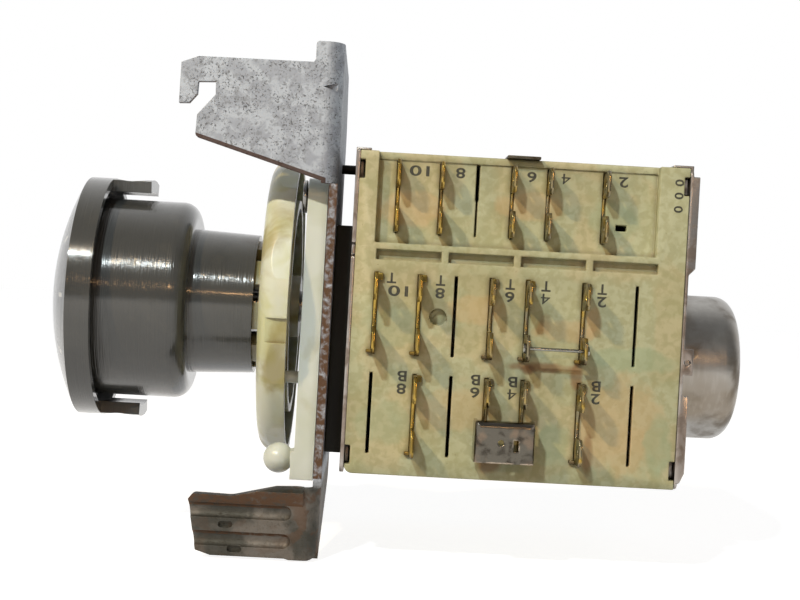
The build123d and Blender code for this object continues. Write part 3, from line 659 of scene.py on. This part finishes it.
@dataclass(frozen=True)
class ZincFinish(Finish):
    """Zinc sheet: grey and flecked, darker at the foot, rusty along its cut edges."""

    rusty: Rgb = (94, 72, 56)
    root_dark: Rgb = (70, 50, 40)
    foot_dark: Rgb = (62, 59, 49)
    pale: Rgb = (104, 97, 88)
    plate_x: float = -0.2
    foot_z: float = -40.0
    foot_fade: float = 3.0
    root_z: float = 29.8
    rim: float = 0.9
    rim_slope: float = 0.2875
    foot_dark_share: float = 0.92
    rust_share: float = 0.8
    root_dark_share: float = 0.9
    bend_from: float = -9.0
    bend_to: float = 0.5
    bend_share: float = 0.6
    flat_share: float = 0.25

    def extra(self, graph: Graph, effects: Effects,
              colour: Socket) -> Socket:
        """Darkens the foot and lays rust over the cut edges.

        Args:
            graph: the material's graph.
            effects: the shared groups.
            colour: the colour so far.

        Returns:
            The colour with both.
        """
        where = graph.add("ShaderNodeTexCoord")
        turn = graph.add("ShaderNodeSeparateXYZ", {0: where.outputs["Normal"]})
        place = graph.add("ShaderNodeSeparateXYZ", {0: where.outputs["Object"]})
        under = graph.math("LESS_THAN", turn.outputs[2], FACING)
        front = graph.math("LESS_THAN", turn.outputs[1], FACING)
        on_plate = graph.math("GREATER_THAN", place.outputs[0], self.plate_x * MM)
        above = graph.math("GREATER_THAN", place.outputs[2], self.foot_z * MM)
        below = graph.math("LESS_THAN", place.outputs[2], self.root_z * MM)
        edge = graph.times(graph.times(front, on_plate), graph.times(above, below))
        slope = graph.times(place.outputs[0], self.rim_slope)
        height = graph.math("ADD", place.outputs[2], slope)
        rim = graph.times(graph.math("LESS_THAN", height, (self.root_z + self.rim) * MM),
                          graph.math("GREATER_THAN", height, (self.root_z - self.rim) * MM))
        rim = graph.times(rim, graph.math("LESS_THAN", place.outputs[0], -self.rim * MM))
        foot = graph.ramp(place.outputs[2], self.foot_z * MM,
                          (self.foot_z - self.foot_fade) * MM)
        light = graph.group(effects.blotches, Scale=120.0, Detail=4.0, Low=0.42, High=0.62,
                            Seed=7.7)
        grey = graph.mix(light.outputs[0], linear(self.foot_dark), linear(self.pale))
        # darker grey towards the foot
        colour = graph.mix(graph.times(foot, self.foot_dark_share), colour, grey)
        cut = graph.math("MAXIMUM", under, edge)
        patch = graph.group(effects.blotches, Scale=800.0, Detail=6.0, Low=0.25, High=0.58,
                            Seed=6.1)
        spots = graph.group(effects.blotches, Scale=210.0, Detail=6.0, Low=0.52, High=0.6,
                            Seed=1.1)
        bend = graph.ramp(place.outputs[0], self.bend_from * MM, self.bend_to * MM)
        rusting = graph.math("ADD", graph.times(bend, self.bend_share), self.flat_share)
        spread = graph.times(graph.times(spots.outputs[0], foot), rusting)
        colour = graph.mix(graph.times(spread, self.rust_share), colour, linear(self.rusty))
        # a dark brown band along the root line
        colour = graph.mix(graph.times(rim, self.root_dark_share), colour, linear(self.root_dark))
        return graph.mix(graph.times(cut, patch.outputs[0]), colour, linear(self.rusty))


ZINC = ZincFinish("Zinc sheet", "zinc_steel", (166, 171, 178), (149, 153, 160), (130, 133, 138),
                  (190, 194, 198), (70, 70, 72), Metal.YES, 0.6, 0.8, tint_scale=260.0,
                  tint_from=0.44, tint_to=0.58, stain_scale=900.0, stain_from=0.52, stain_to=0.66,
                  stain_share=0.45, speck_scale=2200.0, speck_cover=0.8, speck_size=0.7,
                  speck_share=0.7, edge_share=0.1, grain_scale=900.0, grain_depth=0.06, rust=0.5)
PLATE = Finish("Plate sheet", "plate_steel", (170, 165, 160), (144, 133, 124), (92, 74, 60),
               (220, 216, 212), (48, 38, 30), Metal.YES, 0.32, 0.6, stain_scale=260.0,
               stain_from=0.48, stain_share=0.7, rust=0.6)
# Near black: the spacer's own dark plastic, taken darker still as painted shade for the dark gap round
# it.
BLACK_AND_SHADE = Finish("Black moulding with painted shade", "black_plastic", (17, 16, 11), (12, 11, 8), (34, 30, 22),
               (46, 43, 36), (44, 40, 30), rough_low=0.5, rough_high=0.8, speck_share=0.35,
               shine=0.2)
STEEL = Finish("Turned steel", "fastener_steel", (158, 158, 156), (138, 137, 134), (112, 104, 92),
               (214, 214, 212), metal=Metal.YES, rough_low=0.25, rough_high=0.5)
# Face patches: the peach and mint ones are painted warm and cool light and shadow, the rust and brown
# ones rust-brown marks.
FACE_PATCHES = (
    FacePatch(20.0, 25.0, 9.0, 5.0, PEACH_PAINTED_LIGHT, 0.4), FacePatch(48.0, 27.0, 10.0, 4.0, PEACH_PAINTED_LIGHT, 0.35),
    FacePatch(68.0, 25.0, 7.0, 5.0, MINT_PAINTED_LIGHT, 0.35), FacePatch(18.0, -3.0, 12.0, 5.0, MINT_PAINTED_LIGHT, 0.3),
    FacePatch(36.0, 2.0, 8.0, 4.0, PEACH_PAINTED_LIGHT, 0.35), FacePatch(58.0, -2.0, 9.0, 3.0, PEACH_PAINTED_LIGHT, 0.35),
    FacePatch(74.0, -8.0, 12.0, 3.5, MINT_PAINTED_LIGHT, 0.5), FacePatch(33.0, -22.0, 10.0, 6.0, PEACH_PAINTED_LIGHT, 0.3),
    FacePatch(16.0, -26.0, 8.0, 6.0, MINT_PAINTED_LIGHT, 0.35), FacePatch(72.0, -24.0, 12.0, 14.0, PEACH_PAINTED_LIGHT, 0.4),
    FacePatch(81.0, -28.0, 4.0, 8.0, MINT_PAINTED_LIGHT, 0.5), FacePatch(56.0, -29.0, 5.0, 6.0, MINT_PAINTED_LIGHT, 0.45),
    FacePatch(52.0, -10.8, 9.0, 1.5, RUST, 0.75, 0.9), FacePatch(60.8, -12.5, 1.8, 3.4, RUST, 0.7, 0.9),
    FacePatch(49.5, -11.5, 2.6, 1.6, BROWN, 0.8, 0.9), FacePatch(64.5, -31.0, 1.6, 6.5, RUST, 0.6, 0.9),
    FacePatch(41.0, -34.5, 3.5, 2.6, RUST, 0.7, 0.9), FacePatch(52.5, -1.0, 2.2, 3.4, RUST, 0.35, 0.9),
    FacePatch(64.2, 0.5, 2.4, 5.0, PEACH_PAINTED_LIGHT, 0.5, 0.9), FacePatch(48.0, 14.2, 3.0, 1.4, BROWN, 0.3, 0.9))
# The mint-to-tan tint blotches are partly the moulding's own uneven tone and partly painted warm and
# cool light.
BODY = BodyFinish("Body moulding", "body_plastic", (186, 188, 154), (190, 183, 146),
                  (168, 168, 128), (208, 205, 174), (84, 66, 34), rough_low=0.5, rough_high=0.7,
                  tint_scale=62.0, tint_from=0.46, tint_to=0.56, stain_scale=88.0,
                  stain_from=0.5, stain_to=0.62, stain_share=0.45, speck_scale=1000.0,
                  speck_cover=0.7, speck_size=0.4, speck_share=0.6, edge_share=0.45,
                  grime_and_shade_share=0.7, grime_and_shade_reach=1.6, grain_scale=900.0, grain_depth=0.05,
                  face_patches=FACE_PATCHES)
BACK = replace(BODY, name="Back moulding", face_patches=())
STRIP = Finish("Spring strip", "spring_steel", (66, 62, 54), (84, 78, 66), (52, 40, 28),
               (140, 134, 120), metal=Metal.YES, rough_low=0.4, rough_high=0.6)
COPPERY = Finish("Coppery strip", "copper_steel", (96, 92, 84), (118, 104, 90), (58, 54, 48),
                 (226, 206, 184), (26, 22, 18), Metal.YES, 0.16, 0.36, tint_scale=150.0,
                 tint_from=0.5, stain_scale=260.0, stain_from=0.48, stain_share=0.8,
                 edge_share=0.7, edge_width=0.7, rounding=0.5)
WIRE = Finish("Tinned wire", "tinned_wire", (150, 150, 142), (128, 128, 120), (100, 94, 80),
              (214, 214, 208), metal=Metal.YES, rough_low=0.22, rough_high=0.45)
# The can's light lines along Z are painted reflection.
CAN = Finish("Drawn can", "nickel_steel", (160, 157, 152), (134, 125, 113), (92, 80, 64),
             (206, 203, 198), (82, 68, 52), Metal.YES, 0.28, 0.48, tint_scale=48.0,
             stain_scale=105.0, stain_from=0.47, stain_share=0.75, speck_scale=300.0,
             speck_cover=0.08, speck_share=0.35, streak_and_sheen_share=0.08, grain_scale=220.0,
             grain_depth=0.1, rust=0.2)
WINDING = Finish("Winding", "copper_winding", (150, 92, 52), (128, 76, 44), (98, 60, 36),
                 (190, 128, 80), rough_low=0.4, rough_high=0.6, streak_and_sheen_share=0.4)
FERRITE = Finish("Ferrite", "magnet_steel", (58, 58, 60), (48, 48, 50), (70, 62, 52),
                 (110, 110, 110), rough_low=0.4, rough_high=0.6)
NYLON = NylonFinish("White nylon", "white_nylon", (216, 222, 214), (206, 212, 198),
                    (184, 182, 152), (226, 229, 222), (112, 100, 66), rough_low=0.32,
                    rough_high=0.5, stain_scale=70.0, stain_from=0.6, stain_share=0.35, speck_cover=0.08,
                    grime_and_shade_share=0.3, grain_depth=0.01, depth=0.1)
# The olive-brown blotches and the 5 mm darkening in hollows are partly real staining and partly painted
# shade, seen through the translucent disc and in its hollows.
IVORY = NylonFinish("Ivory nylon", "ivory_nylon", (218, 222, 204), (202, 204, 160), (152, 136, 62),
                    (196, 194, 150), (112, 94, 36), rough_low=0.28, rough_high=0.42,
                    edge_share=0.12, tint_scale=85.0, stain_scale=75.0, stain_from=0.5,
                    stain_to=0.66, stain_share=0.7, speck_cover=0.06, grime_and_shade_share=0.8,
                    grime_and_shade_reach=5.0, grain_depth=0.006, depth=0.15)
KNOB = KnobFinish("Knob plastic", "knob_plastic", (66, 67, 66), (60, 61, 60), (76, 75, 70),
                  (84, 83, 78), (92, 88, 74), rough_low=0.16, rough_high=0.3, stain_share=0.3,
                  speck_scale=700.0, speck_cover=0.05, speck_size=0.2, speck_share=0.4,
                  edge_share=0.2, grime_and_shade_share=0.3, grain_scale=3600.0, grain_depth=0.12,
                  grain_stretch=(1.0, 0.02, 0.02))
SPADE = SpadeFinish("Spade brass", "terminal_brass", (170, 142, 70), (134, 112, 56), (84, 68, 40),
                    (232, 206, 124), (48, 38, 22), Metal.YES, 0.24, 0.48, tint_scale=180.0,
                    stain_scale=320.0, stain_share=0.7, edge_share=0.2, edge_width=0.12,
                    rounding=0.08, grime_and_shade_share=0.0, grain_depth=0.006, rust=0.35)
LEAF = Finish("Spring brass", "spring_brass", (200, 164, 92), (176, 142, 80), (130, 104, 60),
              (230, 200, 130), metal=Metal.YES, rough_low=0.2, rough_high=0.4)
INK = Finish("Printed ink", "black_plastic", (50, 52, 44), (66, 66, 56), (96, 94, 76),
             (80, 80, 68), rough_low=0.5, rough_high=0.7, tint_scale=900.0, stain_scale=1600.0,
             stain_from=0.5, stain_share=0.6, grime_and_shade_share=0.0)


class Workshop:
    """Holds the built materials and makes pieces that carry them."""

    flat_angle = 0.02
    merge_distance = 0.002

    def __init__(self) -> None:
        """Builds the effects; each material is built when it is first asked for."""
        self.effects = Effects()
        self.materials: dict[str, bpy.types.Material] = {}
        self.body_of: dict[str, str] = {}
        for body, members in frame["record"]["behaviour"]["bodies"].items():
            for node in members:
                self.body_of[node] = body

    def material(self, finish: Finish) -> bpy.types.Material:
        """Returns the material of a finish."""
        if finish.name not in self.materials:
            self.materials[finish.name] = finish.build(self.effects)
        return self.materials[finish.name]

    def dress(self, node: str, finish: Finish) -> None:
        """Gives a CAD node a finish and leaves its shape alone.

        Args:
            node: the node's name.
            finish: its finish.
        """
        piece = frame["nodes"][node]
        piece.data.materials.clear()
        piece.data.materials.append(self.material(finish))

    def place(self, name: str, shape: bmesh.types.BMesh, body: str, finish: Finish,
              replaced: Iterable[str] = (), smooth: bool = True) -> bpy.types.Object:
        """Makes a piece from a shape.

        Args:
            name: the piece's name.
            shape: the mesh, in metres; it is freed.
            body: the CAD body that it rides on.
            finish: its finish.
            replaced: the CAD nodes that it stands for.
            smooth: whether its faces are smooth.

        Returns:
            The new object.
        """
        for face in shape.faces:
            face.smooth = smooth
        mesh = bpy.data.meshes.new(name)
        shape.to_mesh(mesh)
        shape.free()
        mesh.materials.append(self.material(finish))
        piece = bpy.data.objects.new(name, mesh)
        bpy.context.scene.collection.objects.link(piece)
        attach(piece, body)
        nodes = list(replaced)
        if nodes:
            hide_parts(*nodes)
        return piece

    def copy_shape(self, node: str) -> bmesh.types.BMesh:
        """Copies a CAD node's mesh with its doubles merged.

        Args:
            node: the node's name.

        Returns:
            The copied shape, in metres.
        """
        shape = bmesh.new()
        shape.from_mesh(frame["nodes"][node].data)
        bmesh.ops.remove_doubles(shape, verts=shape.verts, dist=self.merge_distance * MM)
        return shape

    def soften(self, node: str, finish: Finish, width: float, segments: int = 2,
               shape: Optional[bmesh.types.BMesh] = None) -> bpy.types.Object:
        """Stands a copy with rounded edges in a CAD node's place.

        Args:
            node: the node's name.
            finish: its finish.
            width: how wide the rounding is, in millimetres.
            segments: how many steps the rounding has.
            shape: the shape to round, or nothing for the node's own.

        Returns:
            The new object.
        """
        shape = shape or self.copy_shape(node)
        bmesh.ops.dissolve_limit(shape, angle_limit=math.radians(self.flat_angle),
                                 use_dissolve_boundaries=False, verts=shape.verts,
                                 edges=shape.edges)
        piece = self.place(node + "_skin", shape, self.body_of[node], finish, [node])
        round_edges(piece, width, segments)
        return piece


def round_edges(piece: bpy.types.Object, width: float, segments: int = 2,
                angle: float = 32.0) -> None:
    """Rounds a piece's sharp edges and keeps its flats flat.

    Args:
        piece: the object.
        width: how wide the rounding is, in millimetres.
        segments: how many steps it has.
        angle: the least angle between two faces that counts as an edge, in degrees.
    """
    bevel = piece.modifiers.new("Rounded", "BEVEL")
    bevel.width = width * MM
    bevel.segments = segments
    bevel.limit_method = "ANGLE"
    bevel.angle_limit = math.radians(angle)
    bevel.use_clamp_overlap = False
    bevel.harden_normals = True


@dataclass
class Moulding:
    """The terminal half of the body, recut so that its recesses are as shallow as they look."""

    shop: Workshop
    node: str = "terminal_housing"
    drawn_pocket: float = 4.5
    drawn_window: float = 3.5
    pocket_depth: float = 3.0
    window_depth: float = 1.9
    lip_proud: float = 0.45
    near: float = 0.02
    margin: float = 1.0
    rounding: float = 0.3

    def __post_init__(self) -> None:
        """Finds the moulding's box."""
        self.low, self.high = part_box(self.node)

    def build(self) -> None:
        """Lifts the floors, cuts back the lip over the pocket and rounds the edges."""
        shape = self.shop.copy_shape(self.node)
        self.lift(shape, self.drawn_window, self.window_depth)
        floor = self.lift(shape, self.drawn_pocket, self.pocket_depth)
        left = min(corner.x for corner in floor)
        right = max(corner.x for corner in floor)
        top = max(corner.z for corner in floor)
        margin = self.margin * MM
        lip_back = (self.pocket_depth - self.lip_proud) * MM
        low = Vector((left, self.low.y - margin, top - margin / 2))
        high = Vector((right, self.low.y + lip_back, self.high.z + margin))
        shape = self.without_box(shape, low, high)
        self.shop.soften(self.node, BODY, self.rounding, shape=shape)

    def lift(self, shape: bmesh.types.BMesh, drawn: float, depth: float) -> list[Vector]:
        """Brings every corner of one recess's floor up to another depth.

        Args:
            shape: the moulding, in metres.
            drawn: how deep the floor lies, in millimetres.
            depth: how deep it is to lie, in millimetres.

        Returns:
            The places of the lifted corners.
        """
        level = self.low.y + drawn * MM
        floor = [vert for vert in shape.verts if abs(vert.co.y - level) < self.near * MM]
        for vert in floor:
            vert.co.y = self.low.y + depth * MM
        return [vert.co.copy() for vert in floor]

    @staticmethod
    def without_box(shape: bmesh.types.BMesh, low: Vector, high: Vector) -> bmesh.types.BMesh:
        """Cuts a box out of a shape.

        Args:
            shape: the shape, in metres; it is freed.
            low: the box's low corner.
            high: the box's high corner.

        Returns:
            The cut shape.
        """
        box = bmesh.new()
        bmesh.ops.create_cube(box, size=1.0)
        bmesh.ops.scale(box, vec=high - low, verts=box.verts)
        bmesh.ops.translate(box, vec=(low + high) / 2, verts=box.verts)
        holders = []
        for name, solid in (("block", shape), ("cutter", box)):
            mesh = bpy.data.meshes.new(name)
            solid.to_mesh(mesh)
            solid.free()
            holders.append(bpy.data.objects.new(name, mesh))
            bpy.context.scene.collection.objects.link(holders[-1])
        cut = holders[0].modifiers.new("Cut", "BOOLEAN")
        cut.object = holders[1]
        cut.solver = "EXACT"
        ready = holders[0].evaluated_get(bpy.context.evaluated_depsgraph_get())
        result = bmesh.new()
        result.from_mesh(bpy.data.meshes.new_from_object(ready))
        for holder in holders:
            bpy.data.objects.remove(holder)
        return result


@dataclass(frozen=True)
class Label:
    """One printed number beside a terminal: its words and its middle, in millimetres."""

    words: str
    x: float
    z: float
    y: float
    turn: float = 0.0

    def size(self) -> tuple[float, float]:
        """Returns how wide and how tall the words are, in millimetres."""
        if self.turn:
            return BATCH_SIZE
        return PAIR_SIZE if len(self.words) > 1 else SINGLE_SIZE


@dataclass
class Printing:
    """The numbers printed on the terminal face, upside down as the timer is mounted."""

    shop: Workshop
    proud: float = 0.02
    stroke: float = 0.02
    common_z: float = 34.2
    common: Row = (("10", 21.2), ("8", 31.0), ("6", 48.0), ("4", 56.2), ("2", 70.0))
    upper_z: float = 8.35
    upper: Row = (("10", 15.9), ("8", 27.5), ("6", 44.0), ("4", 52.5), ("2", 65.85))
    lower_z: float = -14.65
    lower: Row = (("8", 19.6), ("6", 37.0), ("4", 45.8), ("2", 65.6))
    spacing: float = 3.0
    ten_shift: float = 1.7
    open_words: tuple[str, ...] = ("4",)
    batch_x: float = 82.8
    batch_z: Point = (34.6, 31.5, 28.3)
    batch_turn: float = 90.0

    def __post_init__(self) -> None:
        """Finds the face."""
        low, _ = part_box("terminal_housing")
        self.face_y = millimetres(low).y
        self.pocket_y = self.face_y + Moulding.pocket_depth

    def labels(self) -> list[Label]:
        """Lists the numbers with their places.

        Returns:
            The labels.
        """
        found = []
        for name, x in self.common:
            found.append(Label(name, x, self.common_z, self.pocket_y))
        for name, x in self.upper:
            shift = self.ten_shift if name == "10" else 0.0
            found.append(Label("T", x, self.upper_z, self.face_y))
            found.append(Label(name, x + shift, self.upper_z - self.spacing, self.face_y))
        for name, x in self.lower:
            found.append(Label("B", x, self.lower_z, self.face_y))
            found.append(Label(name, x, self.lower_z - self.spacing, self.face_y))
        for z in self.batch_z:
            found.append(Label("0", self.batch_x, z, self.face_y, self.batch_turn))
        return found

    def build(self) -> None:
        """Makes each label as a thin mesh on the face."""
        for number, label in enumerate(self.labels()):
            curve = bpy.data.curves.new("label", "FONT")
            curve.body = label.words
            curve.align_x = "CENTER"
            curve.align_y = "CENTER"
            curve.extrude = self.proud * MM / 2
            curve.offset = 0.0 if label.words in self.open_words else self.stroke
            holder = bpy.data.objects.new("label", curve)
            bpy.context.scene.collection.objects.link(holder)
            bpy.context.view_layer.update()
            mesh = bpy.data.meshes.new_from_object(holder)
            bpy.data.objects.remove(holder)
            shape = bmesh.new()
            shape.from_mesh(mesh)
            low = Vector(min(vert.co[axis] for vert in shape.verts) for axis in range(3))
            high = Vector(max(vert.co[axis] for vert in shape.verts) for axis in range(3))
            wide, tall = label.size()
            stretch = Matrix.Diagonal(
                (wide * MM / (high.x - low.x), tall * MM / (high.y - low.y), 1, 1))
            place = (Matrix.Translation(Vector((label.x, label.y, label.z)) * MM)
                     @ Matrix.Rotation(math.radians(180 + label.turn), 4, "Y")
                     @ Matrix.Rotation(math.pi / 2, 4, "X") @ stretch
                     @ Matrix.Translation(-(low + high) / 2))
            bmesh.ops.transform(shape, matrix=place, verts=shape.verts)
            self.shop.place(f"label_{number}_{label.words}", shape, "frame", INK, smooth=False)


@dataclass(frozen=True)
class Lamp:
    """One soft lamp: its place and size in metres, its power in watts and its colour."""

    name: str
    place: Point
    size: tuple[float, float]
    power: float
    colour: Rgb


@dataclass
class Studio:
    """The floor, the lamps, the world and the camera."""

    camera_place: Point = (10.8, -379.1, 4.5)
    camera_turn: Point = (-1.23, -0.21, -3.17)
    lens: float = 65.25
    sensor: float = 36.0
    clip_start: float = 0.01
    aim: Point = (0.02, 0.0, 0.0)
    floor_radius: float = 6.0
    floor_sides: int = 96
    floor_gap: float = 0.0005
    floor_paint: float = 0.5
    floor_rough: float = 0.9
    floor_glow: float = 0.88
    fill: float = 0.12
    shine_from: float = -0.3
    shine_to: float = 0.6
    shine_front: float = 0.28
    shine_behind: float = 1.0
    seen_white: float = 1.0
    lamps: tuple[Lamp, ...] = (
        Lamp("Key", (-0.30, -0.80, 0.66), (0.05, 0.03), 6.0, (236, 248, 250)),
        Lamp("Warm", (-0.53, -0.57, 0.56), (0.05, 0.03), 4.2, (255, 220, 170)),
        Lamp("Low warm", (0.1, -1.1, 0.3), (0.3, 0.02), 0.9, (255, 200, 140)))

    def build(self) -> None:
        """Builds the studio."""
        self.floor()
        self.world()
        for lamp in self.lamps:
            self.hang(lamp)
        self.camera()

    def floor(self) -> None:
        """Lays a plain pale floor just under the timer."""
        shape = bmesh.new()
        bmesh.ops.create_circle(shape, cap_ends=True, segments=self.floor_sides,
                                radius=self.floor_radius)
        bmesh.ops.translate(shape, vec=(0, 0, CAD_BOX[0].z - self.floor_gap), verts=shape.verts)
        mesh = bpy.data.meshes.new("floor")
        shape.to_mesh(mesh)
        shape.free()
        material = bpy.data.materials.new("Pale floor")
        material.use_nodes = True
        graph = Graph(material.node_tree)
        graph.tree.nodes.clear()
        paint = graph.add("ShaderNodeBsdfPrincipled", {
            "Base Color": (*[self.floor_paint] * 3, 1.0), "Roughness": self.floor_rough})
        rays = graph.add("ShaderNodeLightPath")
        seen = graph.math("MAXIMUM", rays.outputs["Is Camera Ray"], rays.outputs["Is Glossy Ray"])
        seen = graph.math("MAXIMUM", seen, rays.outputs["Is Transmission Ray"])
        glow = graph.add("ShaderNodeEmission", {"Strength": graph.times(seen, self.floor_glow)})
        both = graph.add("ShaderNodeAddShader", {0: paint.outputs[0], 1: glow.outputs[0]})
        output = graph.add("ShaderNodeOutputMaterial")
        graph.tree.links.new(both.outputs[0], output.inputs[0])
        mesh.materials.append(material)
        piece = bpy.data.objects.new("floor", mesh)
        bpy.context.scene.collection.objects.link(piece)

    def world(self) -> None:
        """Fills the shadows softly and shows white to the camera."""
        world = bpy.data.worlds.new("Studio")
        bpy.context.scene.world = world
        world.use_nodes = True
        graph = Graph(world.node_tree)
        graph.tree.nodes.clear()
        rays = graph.add("ShaderNodeLightPath")
        seen = graph.math("MAXIMUM", rays.outputs["Is Camera Ray"],
                          rays.outputs["Is Transmission Ray"])
        around = graph.add("ShaderNodeTexCoord").outputs["Generated"]
        sky = graph.add("ShaderNodeSeparateXYZ", {0: around})
        shiny = graph.ramp(sky.outputs[1], self.shine_from, self.shine_to,
                           self.shine_front, self.shine_behind)
        strength = graph.add("ShaderNodeMix", {
            0: rays.outputs["Is Glossy Ray"], 2: self.fill, 3: shiny},
            data_type="FLOAT").outputs[0]
        strength = graph.add("ShaderNodeMix", {0: seen, 2: strength, 3: self.seen_white},
                             data_type="FLOAT").outputs[0]
        light = graph.add("ShaderNodeBackground", {
            "Color": (1.0, 1.0, 1.0, 1.0), "Strength": strength})
        output = graph.add("ShaderNodeOutputWorld")
        graph.tree.links.new(light.outputs[0], output.inputs[0])

    def hang(self, lamp: Lamp) -> None:
        """Hangs one lamp so that it points at the timer.

        Args:
            lamp: the lamp.
        """
        light = bpy.data.lights.new(lamp.name, "AREA")
        light.shape = "RECTANGLE"
        light.size, light.size_y = lamp.size
        light.energy = lamp.power
        light.color = linear(lamp.colour)[:3]
        holder = bpy.data.objects.new(lamp.name, light)
        holder.location = lamp.place
        aim = Vector(self.aim) - Vector(lamp.place)
        holder.rotation_euler = aim.to_track_quat("-Z", "Y").to_euler()
        bpy.context.scene.collection.objects.link(holder)

    def camera(self) -> None:
        """Stands the camera where the photograph was taken from."""
        data = bpy.data.cameras.new("Camera")
        data.sensor_width = self.sensor
        data.lens = self.lens
        data.clip_start = self.clip_start
        holder = bpy.data.objects.new("Camera", data)
        yaw, pitch, roll = (math.radians(angle) for angle in self.camera_turn)
        aim = (Matrix.Rotation(yaw, 4, "Z") @ Matrix.Rotation(pitch, 4, "X")
               @ Matrix.Rotation(roll, 4, "Y"))
        upright = Matrix.Rotation(math.pi / 2, 4, "X")
        holder.matrix_world = Matrix.Translation(Vector(self.camera_place) * MM) @ aim @ upright
        bpy.context.scene.collection.objects.link(holder)
        bpy.context.scene.camera = holder


def dress_frame(shop: Workshop) -> None:
    """Softens or dresses each remaining CAD node.

    Args:
        shop: the workshop.
    """
    softened = {
        "spacer_block": (BLACK_AND_SHADE, 0.3), "spacer_stud": (BLACK_AND_SHADE, 0.2),
        "front_plate": (PLATE, 0.2), "rear_plate": (PLATE, 0.2),
        "back_housing": (BACK, 0.3), "housing_clip": (STRIP, 0.15),
        "lever_pin": (STEEL, 0.2), "bracket_screws": (STEEL, 0.1)}
    for node, (finish, width) in softened.items():
        shop.soften(node, finish, width)
    plain = {
        "knob_cap": KNOB, "knob_body": KNOB, "mounting_bracket": ZINC, "index_disc": IVORY,
        "ball_lever": NYLON, "motor_can": CAN, "jumper_wire": WIRE, "bridge_clip": COPPERY,
        "motor_end_plate": PLATE, "motor_coil": WINDING, "motor_rotor": FERRITE,
        "idler_gear": NYLON, "drive_wheel": NYLON, "drive_pawl": NYLON, "stop_pawl": NYLON,
        "gear_posts": STEEL,
        "program_shaft": STEEL, "cam_drum": NYLON, "front_bush": NYLON, "rear_bush": NYLON}
    for node, finish in plain.items():
        shop.dress(node, finish)
    for node in frame["nodes"]:
        if node.startswith("terminal_") and node != "terminal_housing":
            shop.soften(node, SPADE, SPADE_ROUNDING, segments=1)
        if node.startswith("contact_spring"):
            shop.dress(node, LEAF)


def main() -> None:
    """Builds the dressed timer and its studio."""
    logging.basicConfig(level=logging.INFO)
    bpy.context.scene.view_settings.view_transform = "Standard"
    shop = Workshop()
    Moulding(shop).build()
    log.info("terminal moulding built")
    dress_frame(shop)
    log.info("frame dressed")
    Printing(shop).build()
    log.info("numbers printed")
    Studio().build()
    log.info("studio built")


if __name__ == "__main__":
    main()
